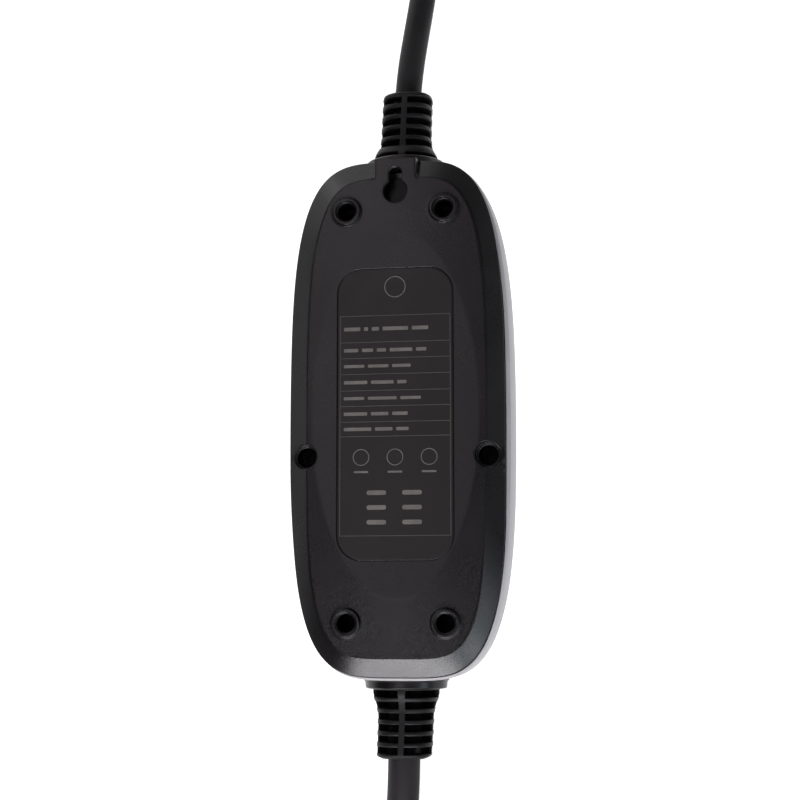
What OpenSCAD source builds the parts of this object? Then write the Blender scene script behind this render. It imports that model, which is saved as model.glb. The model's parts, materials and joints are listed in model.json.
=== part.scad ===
// Portable vehicle charger: in-cable control box with a mains lead and a vehicle lead.
// Millimetres. The box lies on its front face: z = 0 is the floor, +Z is the back of the
// box, +Y points to the mains end with the hanging keyhole, +X is to the right.

/* [Control box] */
// Widest point of the front housing
box_w = 91.6; // [90:0.2:94]
// Length of the front housing
box_l = 210.4; // [208:0.2:214]
// Height from front face to back plateau
box_h = 56; // [54:0.5:60]
// Width of the back cover at its rim
cover_w = 87.5; // [86.5:0.1:87.5]
// Length of the back cover at its rim
cover_l = 207.4; // [206:0.2:207.4]
// Width of the flat plateau on the back
plateau_w = 72.2; // [70:0.2:74]
// Length of the flat plateau on the back
plateau_l = 190.8; // [188:0.2:192]
// Drop of the bevel round the plateau
bevel_drop = 6.5; // [5:0.5:7]
// Wall thickness of both shells
wall = 2.6; // [2.2:0.1:2.8]

/* [Back details] */
// Corner screw spacing across
screw_dx = 39.3; // [37:0.1:41]
// Corner screw spacing along
screw_dy = 164.1; // [160:0.1:166]
// Side screw spacing across
side_dx = 72.9; // [71:0.1:73]
// Side screw position along
side_y = -16.5; // [-20:0.5:-12]
// Screw bore in the cover
screw_bore = 8; // [7.6:0.1:8.4]
// Foot of the raised ring round a corner screw bore
ring_d = 13.4; // [12.6:0.1:14]
// Height of that ring above the plateau
ring_h = 0.9; // [0.6:0.1:1.2]
// Step at the mouth of a screw bore
mouth_d = 9.3; // [9:0.1:9.6]
// Keyhole entry diameter
key_d = 9.6; // [9:0.1:10]
// Keyhole slot width
key_slot = 5; // [4.4:0.1:5.6]
// Rating label width
label_w = 46.4; // [44:0.2:48]
// Rating label length
label_l = 116.3; // [110:0.1:118]

/* [Leads] */
// Mains lead diameter
mains_d = 10.6; // [10.4:0.1:10.6]
// Vehicle lead diameter
vehicle_d = 13; // [12.6:0.1:13]
// Height of the lead axis above the front face
lead_z = 28; // [27.5:0.5:28.5]
// Collar diameter at both ends of the box
collar_d = 33.2; // [32:0.2:34]
// Number of windows along a boot
boot_rows = 6; // [5:1:6]

/* [Hidden] */

$fn = 48;
ha = box_w / 2;                 // half width of the housing
hb = box_l / 2;                 // half length of the housing
ca = cover_w / 2;
cb = cover_l / 2;
pa = plateau_w / 2;
pb = plateau_l / 2;
seam = box_h - 9;               // where the two shells meet
top = box_h;
seat_y = 105.4;                 // flat seat of the collars
collar_y = 107.8;               // outer face of the collars
mains_end = 138;                // outer end of the mains boot
vehicle_end = -135.5;            // outer end of the vehicle boot
window_h = 2.6;                 // height of a boot window along the lead
post_top = 40;                  // cover tubes stand on the housing posts here
head_z = 43;                    // seat of the cover screw heads
board_z = 12;                   // underside of the circuit board
board_top = 13.6;
corner = [[-screw_dx / 2, screw_dy / 2], [screw_dx / 2, screw_dy / 2],
          [-screw_dx / 2, -screw_dy / 2], [screw_dx / 2, -screw_dy / 2]];
side = [[-side_dx / 2, side_y], [side_dx / 2, side_y]];
board_posts = [[-26, 62], [26, 62], [-26, -62], [26, -62]];
leds = [[-12, 52], [-4, 52], [4, 52], [12, 52]];

black = [0.10, 0.10, 0.11];
grey = [0.72, 0.70, 0.72];

// ---------- outlines ----------
function se(a, b, n, t) =
  [a * sign(cos(t)) * pow(abs(cos(t)), 2 / n), b * sign(sin(t)) * pow(abs(sin(t)), 2 / n)];
function ring(r, count) =
  [for (i = [0 : count - 1]) let (p = se(r[1], r[2], r[3], i * 360 / count)) [p[0], p[1], r[0]]];
function outline(a, b, n, count = 64) = [for (i = [0 : count - 1]) se(a, b, n, i * 360 / count)];
function sides(rows, count) = [for (k = [0 : rows - 2], i = [0 : count - 1], h = [0, 1])
  let (j = (i + 1) % count, p = k * count, q = p + count)
  h == 0 ? [p + i, q + i, q + j] : [p + i, q + j, p + j]];

// closed solid through outline rings given from low to high as [z, a, b, n]
module loft(rs, count = 64) {
  rows = len(rs);
  polyhedron(
    points = [for (r = rs, p = ring(r, count)) p],
    faces = concat([[for (i = [0 : count - 1]) i]], sides(rows, count),
      [[for (i = [count - 1 : -1 : 0]) (rows - 1) * count + i]]),
    convexity = 6);
}

// round tube through points, with the end faces square to the given end directions
function unit(v) = v / norm(v);
function along(p, i, first, last) =
  i == 0 ? unit(first) : i == len(p) - 1 ? unit(last) : unit(p[i + 1] - p[i - 1]);
function hoop(c, t, r, m) = let (s = unit(cross(t, [0, 0, 1])), u = cross(s, t))
  [for (k = [0 : m - 1]) c + r * (cos(k * 360 / m) * s + sin(k * 360 / m) * u)];
module tube(p, r, first, last, m = 10) {
  n = len(p);
  polyhedron(
    points = [for (i = [0 : n - 1], q = hoop(p[i], along(p, i, first, last), r, m)) q],
    faces = concat([[for (k = [0 : m - 1]) k]], sides(n, m),
      [[for (k = [m - 1 : -1 : 0]) (n - 1) * m + k]]),
    convexity = 10);
}

// cylinder along +Y
module bar(y0, y1, r, x = 0, z = 0) {
  translate([x, y0, z]) rotate([-90, 0, 0]) cylinder(h = y1 - y0, r = r);
}
module plate(w, l, h, r) {
  linear_extrude(h) union() {
    square([w - 2 * r, l], center = true);
    square([w, l - 2 * r], center = true);
    for (x = [-1, 1], y = [-1, 1]) translate([x * (w / 2 - r), y * (l / 2 - r)]) circle(r);
  }
}

// ---------- shells ----------
module front_housing() {
  color(grey) difference() {
    union() {
      difference() {
        loft([[0, ha - 9.8, hb - 9.7, 4], [0.8, ha - 7.2, hb - 7.2, 3.8], [3, ha - 5.2, hb - 5, 3.6],
              [8, ha - 3.4, hb - 3, 3.5], [18, ha - 1.8, hb - 1.4, 3.5], [28, ha - 0.7, hb - 0.5, 3.5],
              [37, ha, hb, 3.5], [43, ha - 0.4, hb - 0.2, 3.5], [seam, ha - 1.2, hb - 0.7, 3.5]]);
        loft([[2.4, ha - 9.2, hb - 9, 3.8], [8, ha - 3.4 - wall, hb - 3 - wall, 3.5],
              [18, ha - 1.8 - wall, hb - 1.4 - wall, 3.5], [28, ha - 0.7 - wall, hb - 0.5 - wall, 3.5],
              [37, ha - wall, hb - wall, 3.5], [43, ha - 0.4 - wall, hb - 0.2 - wall, 3.5],
              [seam + 1, ha - 1.3 - wall, hb - 0.8 - wall, 3.5]]);
      }
      // screw posts, board posts, clamp posts
      for (p = corner) translate([p[0], p[1], 2]) cylinder(h = post_top - 2, r = 4.2);
      for (p = side) translate([p[0], p[1], 4]) cylinder(h = post_top - 4, r = 4.2);
      for (p = board_posts) translate([p[0], p[1], 2]) cylinder(h = board_z - 2, r = 3.2);
      for (x = [-10.5, 10.5]) translate([x, 85.5, 2]) cylinder(h = 28, r = 3);
      for (x = [-11.5, 11.5]) translate([x, -85.5, 2]) cylinder(h = 28, r = 3);
      // flat seats for the lead collars
      bar(98, seat_y, 17, 0, lead_z);
      bar(-seat_y, -98, 17, 0, lead_z);
    }
    for (p = corner) translate([p[0], p[1], 22]) cylinder(h = 30, r = 2.02);
    for (p = side) translate([p[0], p[1], 22]) cylinder(h = 30, r = 2.02);
    for (p = board_posts) translate([p[0], p[1], 5]) cylinder(h = 20, r = 1.27);
    for (x = [-10.5, 10.5]) translate([x, 85.5, 16]) cylinder(h = 20, r = 1.52);
    for (x = [-11.5, 11.5]) translate([x, -85.5, 16]) cylinder(h = 20, r = 1.52);
    bar(90, 120, 11, 0, lead_z);
    bar(-120, -90, 11, 0, lead_z);
    // panel recess and light guide holes in the front face
    translate([0, 20, -1]) plate(52, 110, 1.8, 8);
    for (p = leds) translate([p[0], p[1], -1]) cylinder(h = 6, r = 1.6);
    // groove for the seal
    translate([0, 0, seam - 1]) linear_extrude(2) difference() {
      polygon(outline(ha - 2.2, hb - 1.8, 3.5));
      polygon(outline(ha - 3.2, hb - 2.8, 3.5));
    }
  }
}

module cover_body() {
  loft([[seam, ca, cb, 3.5], [top - bevel_drop, ca, cb, 3.5], [top, pa, pb, 4]]);
}
module back_cover() {
  color(black) difference() {
    union() {
      difference() {
        cover_body();
        loft([[seam - 1, ca - 2.6, cb - 2.6, 3.5], [top - bevel_drop - 0.6, ca - 2.6, cb - 2.6, 3.5],
              [top - 2.6, pa - 1.2, pb - 1.2, 4]]);
      }
      // raised rings round the corner screws
      for (p = corner) translate([p[0], p[1], top - 0.6]) cylinder(h = ring_h + 0.6, r1 = ring_d / 2 + 0.3, r2 = ring_d / 2 - 1);
      // screw tubes down to the housing posts
      for (p = corner) translate([p[0], p[1], post_top]) cylinder(h = top - 2 - post_top, r = 7.4);
      intersection() {
        for (p = side) translate([p[0], p[1], post_top]) cylinder(h = top - post_top, r = 5.6);
        union() {
          cover_body();
          translate([-60, -60, post_top - 1]) cube([120, 120, seam + 1.5 - post_top]);
        }
      }
      // raised tab with the closed keyhole pocket below it
      translate([-8.3, 82.5, seam]) cube([16.6, 12.5, 7.5]);
      translate([-8.3, 94, seam]) cube([16.6, 9, top - seam]);
    }
    for (p = concat(corner, side)) translate([p[0], p[1], 30]) cylinder(h = 40, r = 2.2);
    for (p = concat(corner, side)) translate([p[0], p[1], head_z]) cylinder(h = 40, r = screw_bore / 2);
    for (p = corner) translate([p[0], p[1], top - 0.2]) cylinder(h = 5, r = mouth_d / 2);
    for (p = side) translate([p[0], p[1], top - 2.6]) cylinder(h = 8, r = mouth_d / 2);
    // keyhole: entry, slot and undercut pocket
    translate([0, 90.5, top - 5]) cylinder(h = 8, r = key_d / 2);
    translate([0, 97.6, top - 5]) cylinder(h = 8, r = key_slot / 2);
    translate([-key_slot / 2, 90.5, top - 5]) cube([key_slot, 7.1, 8]);
    translate([-6, 84.5, seam + 2]) cube([12, 16, 4.4]);
    // label recess
    translate([0, 0.4, top - 0.4]) plate(label_w + 0.4, label_l + 0.4, 2, 10.2);
  }
}

module housing_seal() {
  color([0.25, 0.25, 0.26]) translate([0, 0, seam - 1]) linear_extrude(1) difference() {
    polygon(outline(ha - 2.2, hb - 1.8, 3.5));
    polygon(outline(ha - 3.2, hb - 2.8, 3.5));
  }
}

module cover_screws() {
  color([0.6, 0.6, 0.62]) for (p = concat(corner, side)) translate([p[0], p[1], 0]) difference() {
    union() {
      translate([0, 0, head_z]) cylinder(h = 3, r = 3.7);
      translate([0, 0, 24]) cylinder(h = head_z - 24, r = 2);
    }
    translate([0, 0, head_z + 1.2]) cylinder(h = 3, r = 1.8, $fn = 6);
  }
}

module rating_label() {
  color([0.07, 0.07, 0.07]) translate([0, 0.4, top - 0.4]) plate(label_w, label_l, 0.35, 10);
}

module front_panel() {
  color([0.12, 0.12, 0.13]) translate([0, 20, 0.3]) difference() {
    plate(51.6, 109.6, 0.5, 7.8);
    for (p = leds) translate([p[0], p[1] - 20, -1]) cylinder(h = 3, r = 1.6);
  }
}

module light_guides() {
  color([0.85, 0.9, 0.92]) for (p = leds) translate([p[0], p[1], 0]) {
    translate([0, 0, 0.4]) cylinder(h = 9.4, r = 1.55);
    translate([0, 0, 2.4]) cylinder(h = 1.5, r = 2.6);
  }
}

// ---------- board and what stands on it ----------
module main_board() {
  color([0.10, 0.36, 0.20]) difference() {
    translate([-31, -70, board_z]) cube([62, 140, 1.6]);
    for (p = board_posts) translate([p[0], p[1], board_z - 1]) cylinder(h = 4, r = 1.6);
  }
}
module board_screws() {
  color([0.7, 0.7, 0.72]) for (p = board_posts) translate([p[0], p[1], 0]) difference() {
    union() {
      translate([0, 0, board_top]) cylinder(h = 1.8, r = 2.5);
      translate([0, 0, 6]) cylinder(h = board_top - 6, r = 1.25);
    }
    translate([-1.6, -0.3, board_top + 1]) cube([3.2, 0.6, 2]);
    translate([-0.3, -1.6, board_top + 1]) cube([0.6, 3.2, 2]);
  }
}
module relay_case() {
  difference() {
    translate([-6.5, -15, board_top]) cube([13, 30, 19]);
    translate([-5.5, -14, board_top + 18.6]) cube([11, 28, 1]);
  }
}
module line_relay() { color([0.12, 0.2, 0.42]) translate([-20, 8, 0]) relay_case(); }
module neutral_relay() { color([0.12, 0.2, 0.42]) translate([20, 8, 0]) relay_case(); }
module leakage_sensor() {
  color([0.16, 0.16, 0.17]) {
    translate([0, -27.5, board_top + 14]) rotate([90, 0, 0]) rotate_extrude()
      translate([7.5, 0]) square([6, 11]);
    translate([-8, -38.5, board_top]) difference() {
      cube([16, 11, 4]);
      translate([8, -1, 14]) rotate([-90, 0, 0]) cylinder(h = 20, r = 13);
    }
  }
}
module supply_module() {
  color([0.14, 0.14, 0.15]) difference() {
    translate([-9, 26, board_top]) cube([18, 24, 17]);
    translate([-8, 27, board_top + 16.6]) cube([16, 22, 1]);
  }
}
module filter_capacitor() { color([0.75, 0.62, 0.2]) translate([-29, 30, board_top]) cube([9, 22, 15]); }
module surge_varistor() {
  color([0.15, 0.3, 0.6]) {
    translate([0, -47, board_top + 9]) rotate([90, 0, 0]) cylinder(h = 5, r = 7);
    for (x = [-3.75, 3.75]) translate([x, -49.5, board_top]) cylinder(h = 4, r = 0.5);
  }
}
module input_fuse() {
  color([0.8, 0.8, 0.78]) {
    bar(30, 50, 3, 23, board_top + 5);
    for (y = [30, 45]) translate([20.5, y, board_top]) cube([5, 5, 3]);
  }
}
module controller_chip() { color([0.08, 0.08, 0.09]) translate([16, -36, board_top]) cube([10, 10, 1.2]); }
module status_leds() {
  color([0.9, 0.95, 0.85]) for (p = leds) translate([p[0], p[1], 9.8]) cylinder(h = board_z - 9.8, r = 1.5);
}
module terminal_block(n) {
  difference() {
    translate([-n * 5.5, -6, board_top]) cube([n * 11, 12, 20]);
    for (i = [0 : n - 1]) {
      translate([(i - (n - 1) / 2) * 11, 0, lead_z - 4]) rotate([-90, 0, 0]) cylinder(h = 10, r = 1.8);
      translate([(i - (n - 1) / 2) * 11, 0, board_top + 12]) cylinder(h = 10, r = 2.4);
    }
  }
}
module input_terminals() { color([0.2, 0.45, 0.25]) translate([0, 60, 0]) terminal_block(3); }
module output_terminals() { color([0.2, 0.45, 0.25]) translate([0, -60, 0]) rotate([0, 0, 180]) terminal_block(4); }

module mains_wires() {
  color([0.45, 0.3, 0.15]) for (i = [-1, 0, 1])
    tube([[i * 3.4, 80, lead_z], [i * 4, 77, lead_z], [i * 7.5, 72.5, lead_z - 2], [i * 11, 68, lead_z - 4],
          [i * 11, 60, lead_z - 4]], 1.6, [0, -1, 0], [0, -1, 0], 8);
}
module vehicle_wires() {
  color([0.15, 0.3, 0.55]) for (i = [-1.5, -0.5, 0.5, 1.5])
    tube([[i * 3.4, -80, lead_z], [i * 4, -77, lead_z], [i * 7.5, -72.5, lead_z - 2], [i * 11, -68, lead_z - 4],
          [i * 11, -60, lead_z - 4]], 1.6, [0, 1, 0], [0, 1, 0], 8);
}

// ---------- lead entries ----------
module gland(d) {
  difference() {
    union() {
      bar(seat_y, collar_y, collar_d / 2, 0, lead_z);
      bar(90, seat_y, 10.95, 0, lead_z);
    }
    bar(80, 120, d / 2, 0, lead_z);
  }
}
module mains_gland() { color(black) gland(mains_d); }
module vehicle_gland() { color(black) mirror([0, 1, 0]) gland(vehicle_d); }
module gland_nut() {
  difference() {
    translate([0, 92.5, lead_z]) rotate([-90, 0, 0]) cylinder(h = 5.5, r = 15, $fn = 6);
    bar(80, 120, 10.95, 0, lead_z);
  }
}
module gland_nuts() {
  color([0.15, 0.15, 0.16]) { gland_nut(); mirror([0, 1, 0]) gland_nut(); }
}
module clamp(x, d) {
  difference() {
    translate([-x - 3.5, 83, 30]) cube([2 * x + 7, 5, 8]);
    bar(70, 100, d / 2, 0, lead_z);
    for (s = [-x, x]) translate([s, 85.5, 20]) cylinder(h = 30, r = 1.6);
  }
}
module mains_clamp() { color([0.3, 0.3, 0.31]) clamp(10.5, mains_d); }
module vehicle_clamp() { color([0.3, 0.3, 0.31]) mirror([0, 1, 0]) clamp(11.5, vehicle_d); }
module clamp_screw() {
  difference() {
    union() {
      translate([0, 0, 38]) cylinder(h = 1.8, r = 2.6);
      translate([0, 0, 18]) cylinder(h = 20, r = 1.5);
    }
    translate([-1.6, -0.3, 39]) cube([3.2, 0.6, 2]);
    translate([-0.3, -1.6, 39]) cube([0.6, 3.2, 2]);
  }
}
module clamp_screws() {
  color([0.7, 0.7, 0.72]) {
    for (x = [-10.5, 10.5]) translate([x, 85.5, 0]) clamp_screw();
    for (x = [-11.5, 11.5]) translate([x, -85.5, 0]) clamp_screw();
  }
}

// ribbed boot from the collar face outwards, drawn along +Z from 0 to h
module boot(h, base_r, body_r, bore, first, pitch) {
  difference() {
    rotate_extrude() polygon([[bore, 0], [base_r, 0], [base_r, 2.6], [base_r - 0.5, 4.2], [body_r + 1, 6.6],
      [body_r + 0.3, 9], [body_r, 12], [body_r - 0.15, h - 2.2], [body_r - 0.7, h - 0.7], [body_r - 2.2, h], [bore, h]]);
    for (k = [0 : boot_rows - 1]) difference() {
      translate([0, 0, first + k * pitch - window_h / 2]) difference() {
        cylinder(h = window_h, r = 20);
        translate([0, 0, -1]) cylinder(h = 5, r = bore + 2.2);
      }
      translate([-1.5, -25, -1]) cube([3, 50, h + 2]);
      translate([-25, -1.5, -1]) cube([50, 3, h + 2]);
    }
  }
}
module mains_boot() {
  color(black) translate([0, collar_y, lead_z]) rotate([-90, 0, 0])
    boot(mains_end - collar_y, 12.8, 10.1, mains_d / 2, 3.2, 4.64);
}
module vehicle_boot() {
  color(black) translate([0, -collar_y, lead_z]) rotate([90, 0, 0])
    boot(-collar_y - vehicle_end, 13.3, 10.9, vehicle_d / 2, 2.2, 4.47);
}
module mains_cord_inner() { color([0.06, 0.06, 0.06]) bar(80, mains_end, mains_d / 2, 0, lead_z); }
module vehicle_cord_inner() { color([0.06, 0.06, 0.06]) bar(vehicle_end, -80, vehicle_d / 2, 0, lead_z); }

// ---------- mains lead and plug ----------
mains_route = [[0, mains_end, lead_z], [1.4, 150, 27.6], [4.2, 169, 25], [6.6, 187, 20.5], [7.8, 203, 15.5], [8.2, 222, 9.5],
  [8, 242, 6], [8, 262, 5.3], [8, 280, 5.3], [13, 301, 5.3], [29, 316, 5.3], [50, 322, 5.3], [71, 316, 5.3],
  [87, 301, 5.3], [92, 280, 5.3], [92, 260, 5.3], [92, 240, 5.3], [87, 219, 5.3], [71, 204, 5.3], [50, 198, 5.3],
  [34, 198, 5.3], [17, 198, 5.3], [-3, 204, 7], [-18, 219, 12], [-24, 235, 17.5], [-24, 243, 19]];
plug_x = -24;
plug_z = 19;
module mains_cord() { color([0.06, 0.06, 0.06]) tube(mains_route, mains_d / 2, [0, 1, 0], [0, 1, 0]); }
module plug_body() {
  color(black) translate([plug_x, 243, plug_z]) rotate([-90, 0, 0]) difference() {
    rotate_extrude() polygon([[0, 0], [7.6, 0], [9.6, 25], [12, 27], [16.5, 35], [18.4, 38], [19, 41], [19, 64], [18.2, 65], [0, 65]]);
    translate([0, 0, -1]) cylinder(h = 31, r = mains_d / 2);
    for (x = [-9.5, 9.5]) translate([x, 0, 53]) cylinder(h = 20, r = 2.4);
    for (s = [-1, 1]) translate([-3, s * 18.5 - 1.5, 44]) cube([6, 3, 30]);
  }
}
module plug_cord_inner() { color([0.06, 0.06, 0.06]) bar(243, 273, mains_d / 2, plug_x, plug_z); }
module plug_pins() {
  color([0.75, 0.74, 0.7]) for (x = [-9.5, 9.5]) translate([plug_x + x, 296, plug_z]) rotate([-90, 0, 0])
    rotate_extrude() polygon([[0, 0], [2.4, 0], [2.4, 29.5], [1.2, 31], [0, 31]]);
}
module plug_earth_strips() {
  color([0.75, 0.74, 0.7]) for (s = [-1, 1])
    translate([plug_x - 2.5, 290, plug_z + s * 17.5 - 0.5]) cube([5, 17.8, 1]);
}

// ---------- vehicle lead and connector ----------
hank_x = 38;
hank_near = -232;               // centre of the near fold
hank_far = -356;                // centre of the far fold
hank_in = 32.5;
hank_out = 58.5;
hank_h = 39;
lead_route = [[0, vehicle_end, lead_z], [-1.2, -149, 27], [-3.5, -166, 22.5], [-8, -182, 16], [-12, -199, 10.5],
  [-14, -216, 7.3], [-14, -232, 6.5]];
tail_route = [[77, -232, 32.5], [72, -212, 32.5], [57, -198, 32.5], [38, -193, 35], [19, -198, 40],
  [4, -212, 44], [-1, -232, 45.6], [-1, -260, 45.6], [-1, -290, 45.6], [-1, -320, 45.6], [-1, -356, 45.6],
  [4, -376, 45.8], [19, -390, 46.2], [38, -395, 46.8], [57, -390, 47.8], [72, -376, 49.4], [77, -356, 51.5]];
con_tilt = 7;                   // the connector lies on its lower edge
con_x = 77;
con_y = -356;
con_z = 51.5;
module stadium(r) {
  translate([hank_x, hank_near]) circle(r);
  translate([hank_x, hank_far]) circle(r);
  translate([hank_x - r, hank_far]) square([2 * r, hank_near - hank_far]);
}
module vehicle_cord_lead() { color([0.06, 0.06, 0.06]) tube(lead_route, vehicle_d / 2, [0, -1, 0], [0, -1, 0]); }
module vehicle_cord_tail() {
  color([0.06, 0.06, 0.06]) tube(tail_route, vehicle_d / 2, [0, 1, 0], [0, cos(con_tilt), sin(con_tilt)]);
}
module vehicle_cord_hank() {
  color([0.06, 0.06, 0.06]) difference() {
    linear_extrude(hank_h) difference() { stadium(hank_out); stadium(hank_in); }
    // room for the turn that leads in below and for the one that leads out on top
    translate([-25, hank_near, -1]) cube([23, 52, 23.5]);
    translate([hank_x, hank_near, 26]) intersection() {
      cylinder(h = 20, r = 46);
      translate([-60, 0, -1]) cube([120, 60, 30]);
    }
  }
}

// drawn along +Z from the cord end, then laid along +Y on the hank
module laid() { translate([con_x, con_y, con_z]) rotate([con_tilt - 90, 0, 0]) children(); }
module shell_solid() {
  difference() {
    rotate_extrude() polygon([[13, 30], [15, 32], [17.5, 45], [19.4, 60], [22, 85], [23, 110], [26, 128], [30, 142],
      [31, 150], [31, 158], [26.5, 158], [26.5, 152], [22.5, 136], [20, 112], [19, 88], [16.5, 62], [14.5, 46], [13, 41]]);
    screw_bores();
  }
}
// two screws hold the shell halves together below the wires
module screw_bores() {
  for (z = [54, 100]) translate([0, -9, z]) rotate([0, 90, 0]) {
    translate([0, 0, -12]) cylinder(h = 30, r = 1.5);
    translate([0, 0, 8]) cylinder(h = 40, r = 2.6);
  }
}
module screw_boss() {
  difference() {
    for (z = [54, 100]) translate([-21, -9, z]) rotate([0, 90, 0]) cylinder(h = 42, r = 3.6);
    screw_bores();
  }
}
module shell_half(s) {
  intersection() {
    union() {
      shell_solid();
      intersection() {
        screw_boss();
        rotate_extrude() polygon([[0, 40], [14.6, 46], [16.6, 62], [19.2, 88], [20.2, 112], [0, 112]]);
      }
    }
    translate([s < 0 ? -50 : 0, -50, 0]) cube([50, 100, 300]);
  }
}
module connector_shell_left() { color(black) laid() shell_half(-1); }
module connector_shell_right() { color(black) laid() shell_half(1); }
power = [[-9.2, 2.5], [9.2, 2.5], [0, 0.5]];
spare = [[-5, -9.5], [5, -9.5]];
pilot = [[-5.8, 10.8], [5.8, 10.8]];
module connector_nose() {
  color([0.14, 0.14, 0.15]) laid() difference() {
    union() {
      translate([0, 0, 150]) cylinder(h = 40, r = 25);
      translate([0, 0, 152]) cylinder(h = 5.9, r = 26.5);
    }
    translate([-40, 17.5, 160]) cube([80, 20, 60]);
    for (p = concat(power, spare)) translate([p[0], p[1], 145]) cylinder(h = 60, r = 4);
    for (p = pilot) translate([p[0], p[1], 145]) cylinder(h = 60, r = 2.6);
  }
}
module connector_contacts() {
  color([0.8, 0.78, 0.72]) laid() {
    for (p = power) translate([p[0], p[1], 148]) difference() {
      cylinder(h = 36, r = 3.9);
      translate([0, 0, 6]) cylinder(h = 40, r = 3);
    }
    for (p = pilot) translate([p[0], p[1], 148]) difference() {
      cylinder(h = 36, r = 2.5);
      translate([0, 0, 6]) cylinder(h = 40, r = 1.5);
    }
  }
}
module connector_boot() {
  color(black) laid() difference() {
    rotate_extrude() polygon([[6.5, 0], [9.6, 0], [10.6, 1.2], [13, 28], [13, 41], [6.5, 41]]);
    for (z = [5, 11, 17, 23]) translate([0, 0, z]) difference() {
      cylinder(h = 2.6, r = 20);
      translate([0, 0, -1]) cylinder(h = 5, r = 8.4);
      translate([-1.6, -30, -1]) cube([3.2, 60, 5]);
      translate([-30, -1.6, -1]) cube([60, 3.2, 5]);
    }
  }
}
module connector_cord_inner() { color([0.06, 0.06, 0.06]) laid() cylinder(h = 44, r = vehicle_d / 2); }
module connector_wires() {
  color([0.15, 0.3, 0.55]) laid() {
    for (p = power) strand([p[0] * 0.38, p[1] * 0.9, 44], [p[0], p[1], 148], 1.5);
    strand([-1.6, 5, 44], [pilot[0][0], pilot[0][1], 148], 0.8);
    strand([1.6, 5, 44], [pilot[1][0], pilot[1][1], 148], 0.8);
  }
}
function mix(a, b, t) = a + (b - a) * t;
module strand(a, b, r) {
  m = 8;
  z = [44, 56, 124, 148];
  f = [0, 0, 1, 1];
  polyhedron(
    points = [for (i = [0 : 3], k = [0 : m - 1])
      [mix(a[0], b[0], f[i]) + r * cos(k * 360 / m), mix(a[1], b[1], f[i]) + r * sin(k * 360 / m), z[i]]],
    faces = concat([[for (k = [0 : m - 1]) k]], sides(4, m), [[for (k = [m - 1 : -1 : 0]) 3 * m + k]]));
}
module connector_screws() {
  color([0.7, 0.7, 0.72]) laid() for (z = [54, 100]) translate([0, -9, z]) rotate([0, 90, 0]) difference() {
    union() {
      translate([0, 0, -12]) cylinder(h = 20, r = 1.5);
      translate([0, 0, 8]) cylinder(h = 1.8, r = 2.5);
    }
    translate([0, 0, 9]) cylinder(h = 2, r = 1.2, $fn = 6);
  }
}

// ---------- every node ----------
front_housing();
back_cover();
housing_seal();
cover_screws();
rating_label();
front_panel();
light_guides();
main_board();
board_screws();
line_relay();
neutral_relay();
leakage_sensor();
supply_module();
filter_capacitor();
surge_varistor();
input_fuse();
controller_chip();
status_leds();
input_terminals();
output_terminals();
mains_wires();
vehicle_wires();
mains_gland();
vehicle_gland();
gland_nuts();
mains_clamp();
vehicle_clamp();
clamp_screws();
mains_boot();
vehicle_boot();
mains_cord_inner();
vehicle_cord_inner();
mains_cord();
plug_body();
plug_cord_inner();
plug_pins();
plug_earth_strips();
vehicle_cord_lead();
vehicle_cord_hank();
vehicle_cord_tail();
connector_shell_left();
connector_shell_right();
connector_nose();
connector_contacts();
connector_boot();
connector_cord_inner();
connector_wires();
connector_screws();
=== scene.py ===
# Portable vehicle charger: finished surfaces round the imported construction.
# Lengths in the builders are millimetres and become metres in make().
import json
import math

import bmesh
import bpy
import numpy as np
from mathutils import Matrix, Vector
from mathutils.geometry import delaunay_2d_cdt


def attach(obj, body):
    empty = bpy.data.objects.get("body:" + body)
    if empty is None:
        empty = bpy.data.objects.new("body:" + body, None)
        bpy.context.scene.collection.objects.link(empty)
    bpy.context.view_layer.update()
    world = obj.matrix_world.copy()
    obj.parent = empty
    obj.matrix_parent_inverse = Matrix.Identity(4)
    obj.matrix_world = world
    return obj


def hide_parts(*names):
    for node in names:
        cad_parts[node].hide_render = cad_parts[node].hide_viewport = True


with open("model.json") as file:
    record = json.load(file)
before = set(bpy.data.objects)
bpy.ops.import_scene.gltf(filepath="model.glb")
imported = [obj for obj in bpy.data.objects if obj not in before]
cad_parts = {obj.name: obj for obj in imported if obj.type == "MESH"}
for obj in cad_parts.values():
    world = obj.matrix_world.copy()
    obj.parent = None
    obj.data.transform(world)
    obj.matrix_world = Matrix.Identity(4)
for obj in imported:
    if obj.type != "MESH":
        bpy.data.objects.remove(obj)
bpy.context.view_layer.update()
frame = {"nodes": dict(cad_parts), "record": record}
scene = bpy.context.scene
scene.view_settings.view_transform = "Standard"
scene.view_settings.look = "None"
NODES = frame["nodes"]
MM = 0.001


# ------------------------------------------------------------------ materials
def nodes_of(name):
    m = bpy.data.materials.new(name)
    m.use_nodes = True
    t = m.node_tree
    t.nodes.clear()
    out = t.nodes.new("ShaderNodeOutputMaterial")
    p = t.nodes.new("ShaderNodeBsdfPrincipled")
    t.links.new(p.outputs[0], out.inputs[0])
    return m, t, p


def noise(t, co, scale, detail=2.0, rough=0.5, stretch=None):
    n = t.nodes.new("ShaderNodeTexNoise")
    n.inputs["Scale"].default_value = scale
    n.inputs["Detail"].default_value = detail
    n.inputs["Roughness"].default_value = rough
    src = co
    if stretch:
        mp = t.nodes.new("ShaderNodeMapping")
        mp.inputs["Scale"].default_value = stretch
        t.links.new(co, mp.inputs[0])
        src = mp.outputs[0]
    t.links.new(src, n.inputs["Vector"])
    return n.outputs["Fac"]


def ramp(t, fac, lo, hi, a, b):
    r = t.nodes.new("ShaderNodeMapRange")
    r.inputs["From Min"].default_value = a
    r.inputs["From Max"].default_value = b
    r.inputs["To Min"].default_value = lo
    r.inputs["To Max"].default_value = hi
    t.links.new(fac, r.inputs["Value"])
    return r.outputs["Result"]


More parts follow.
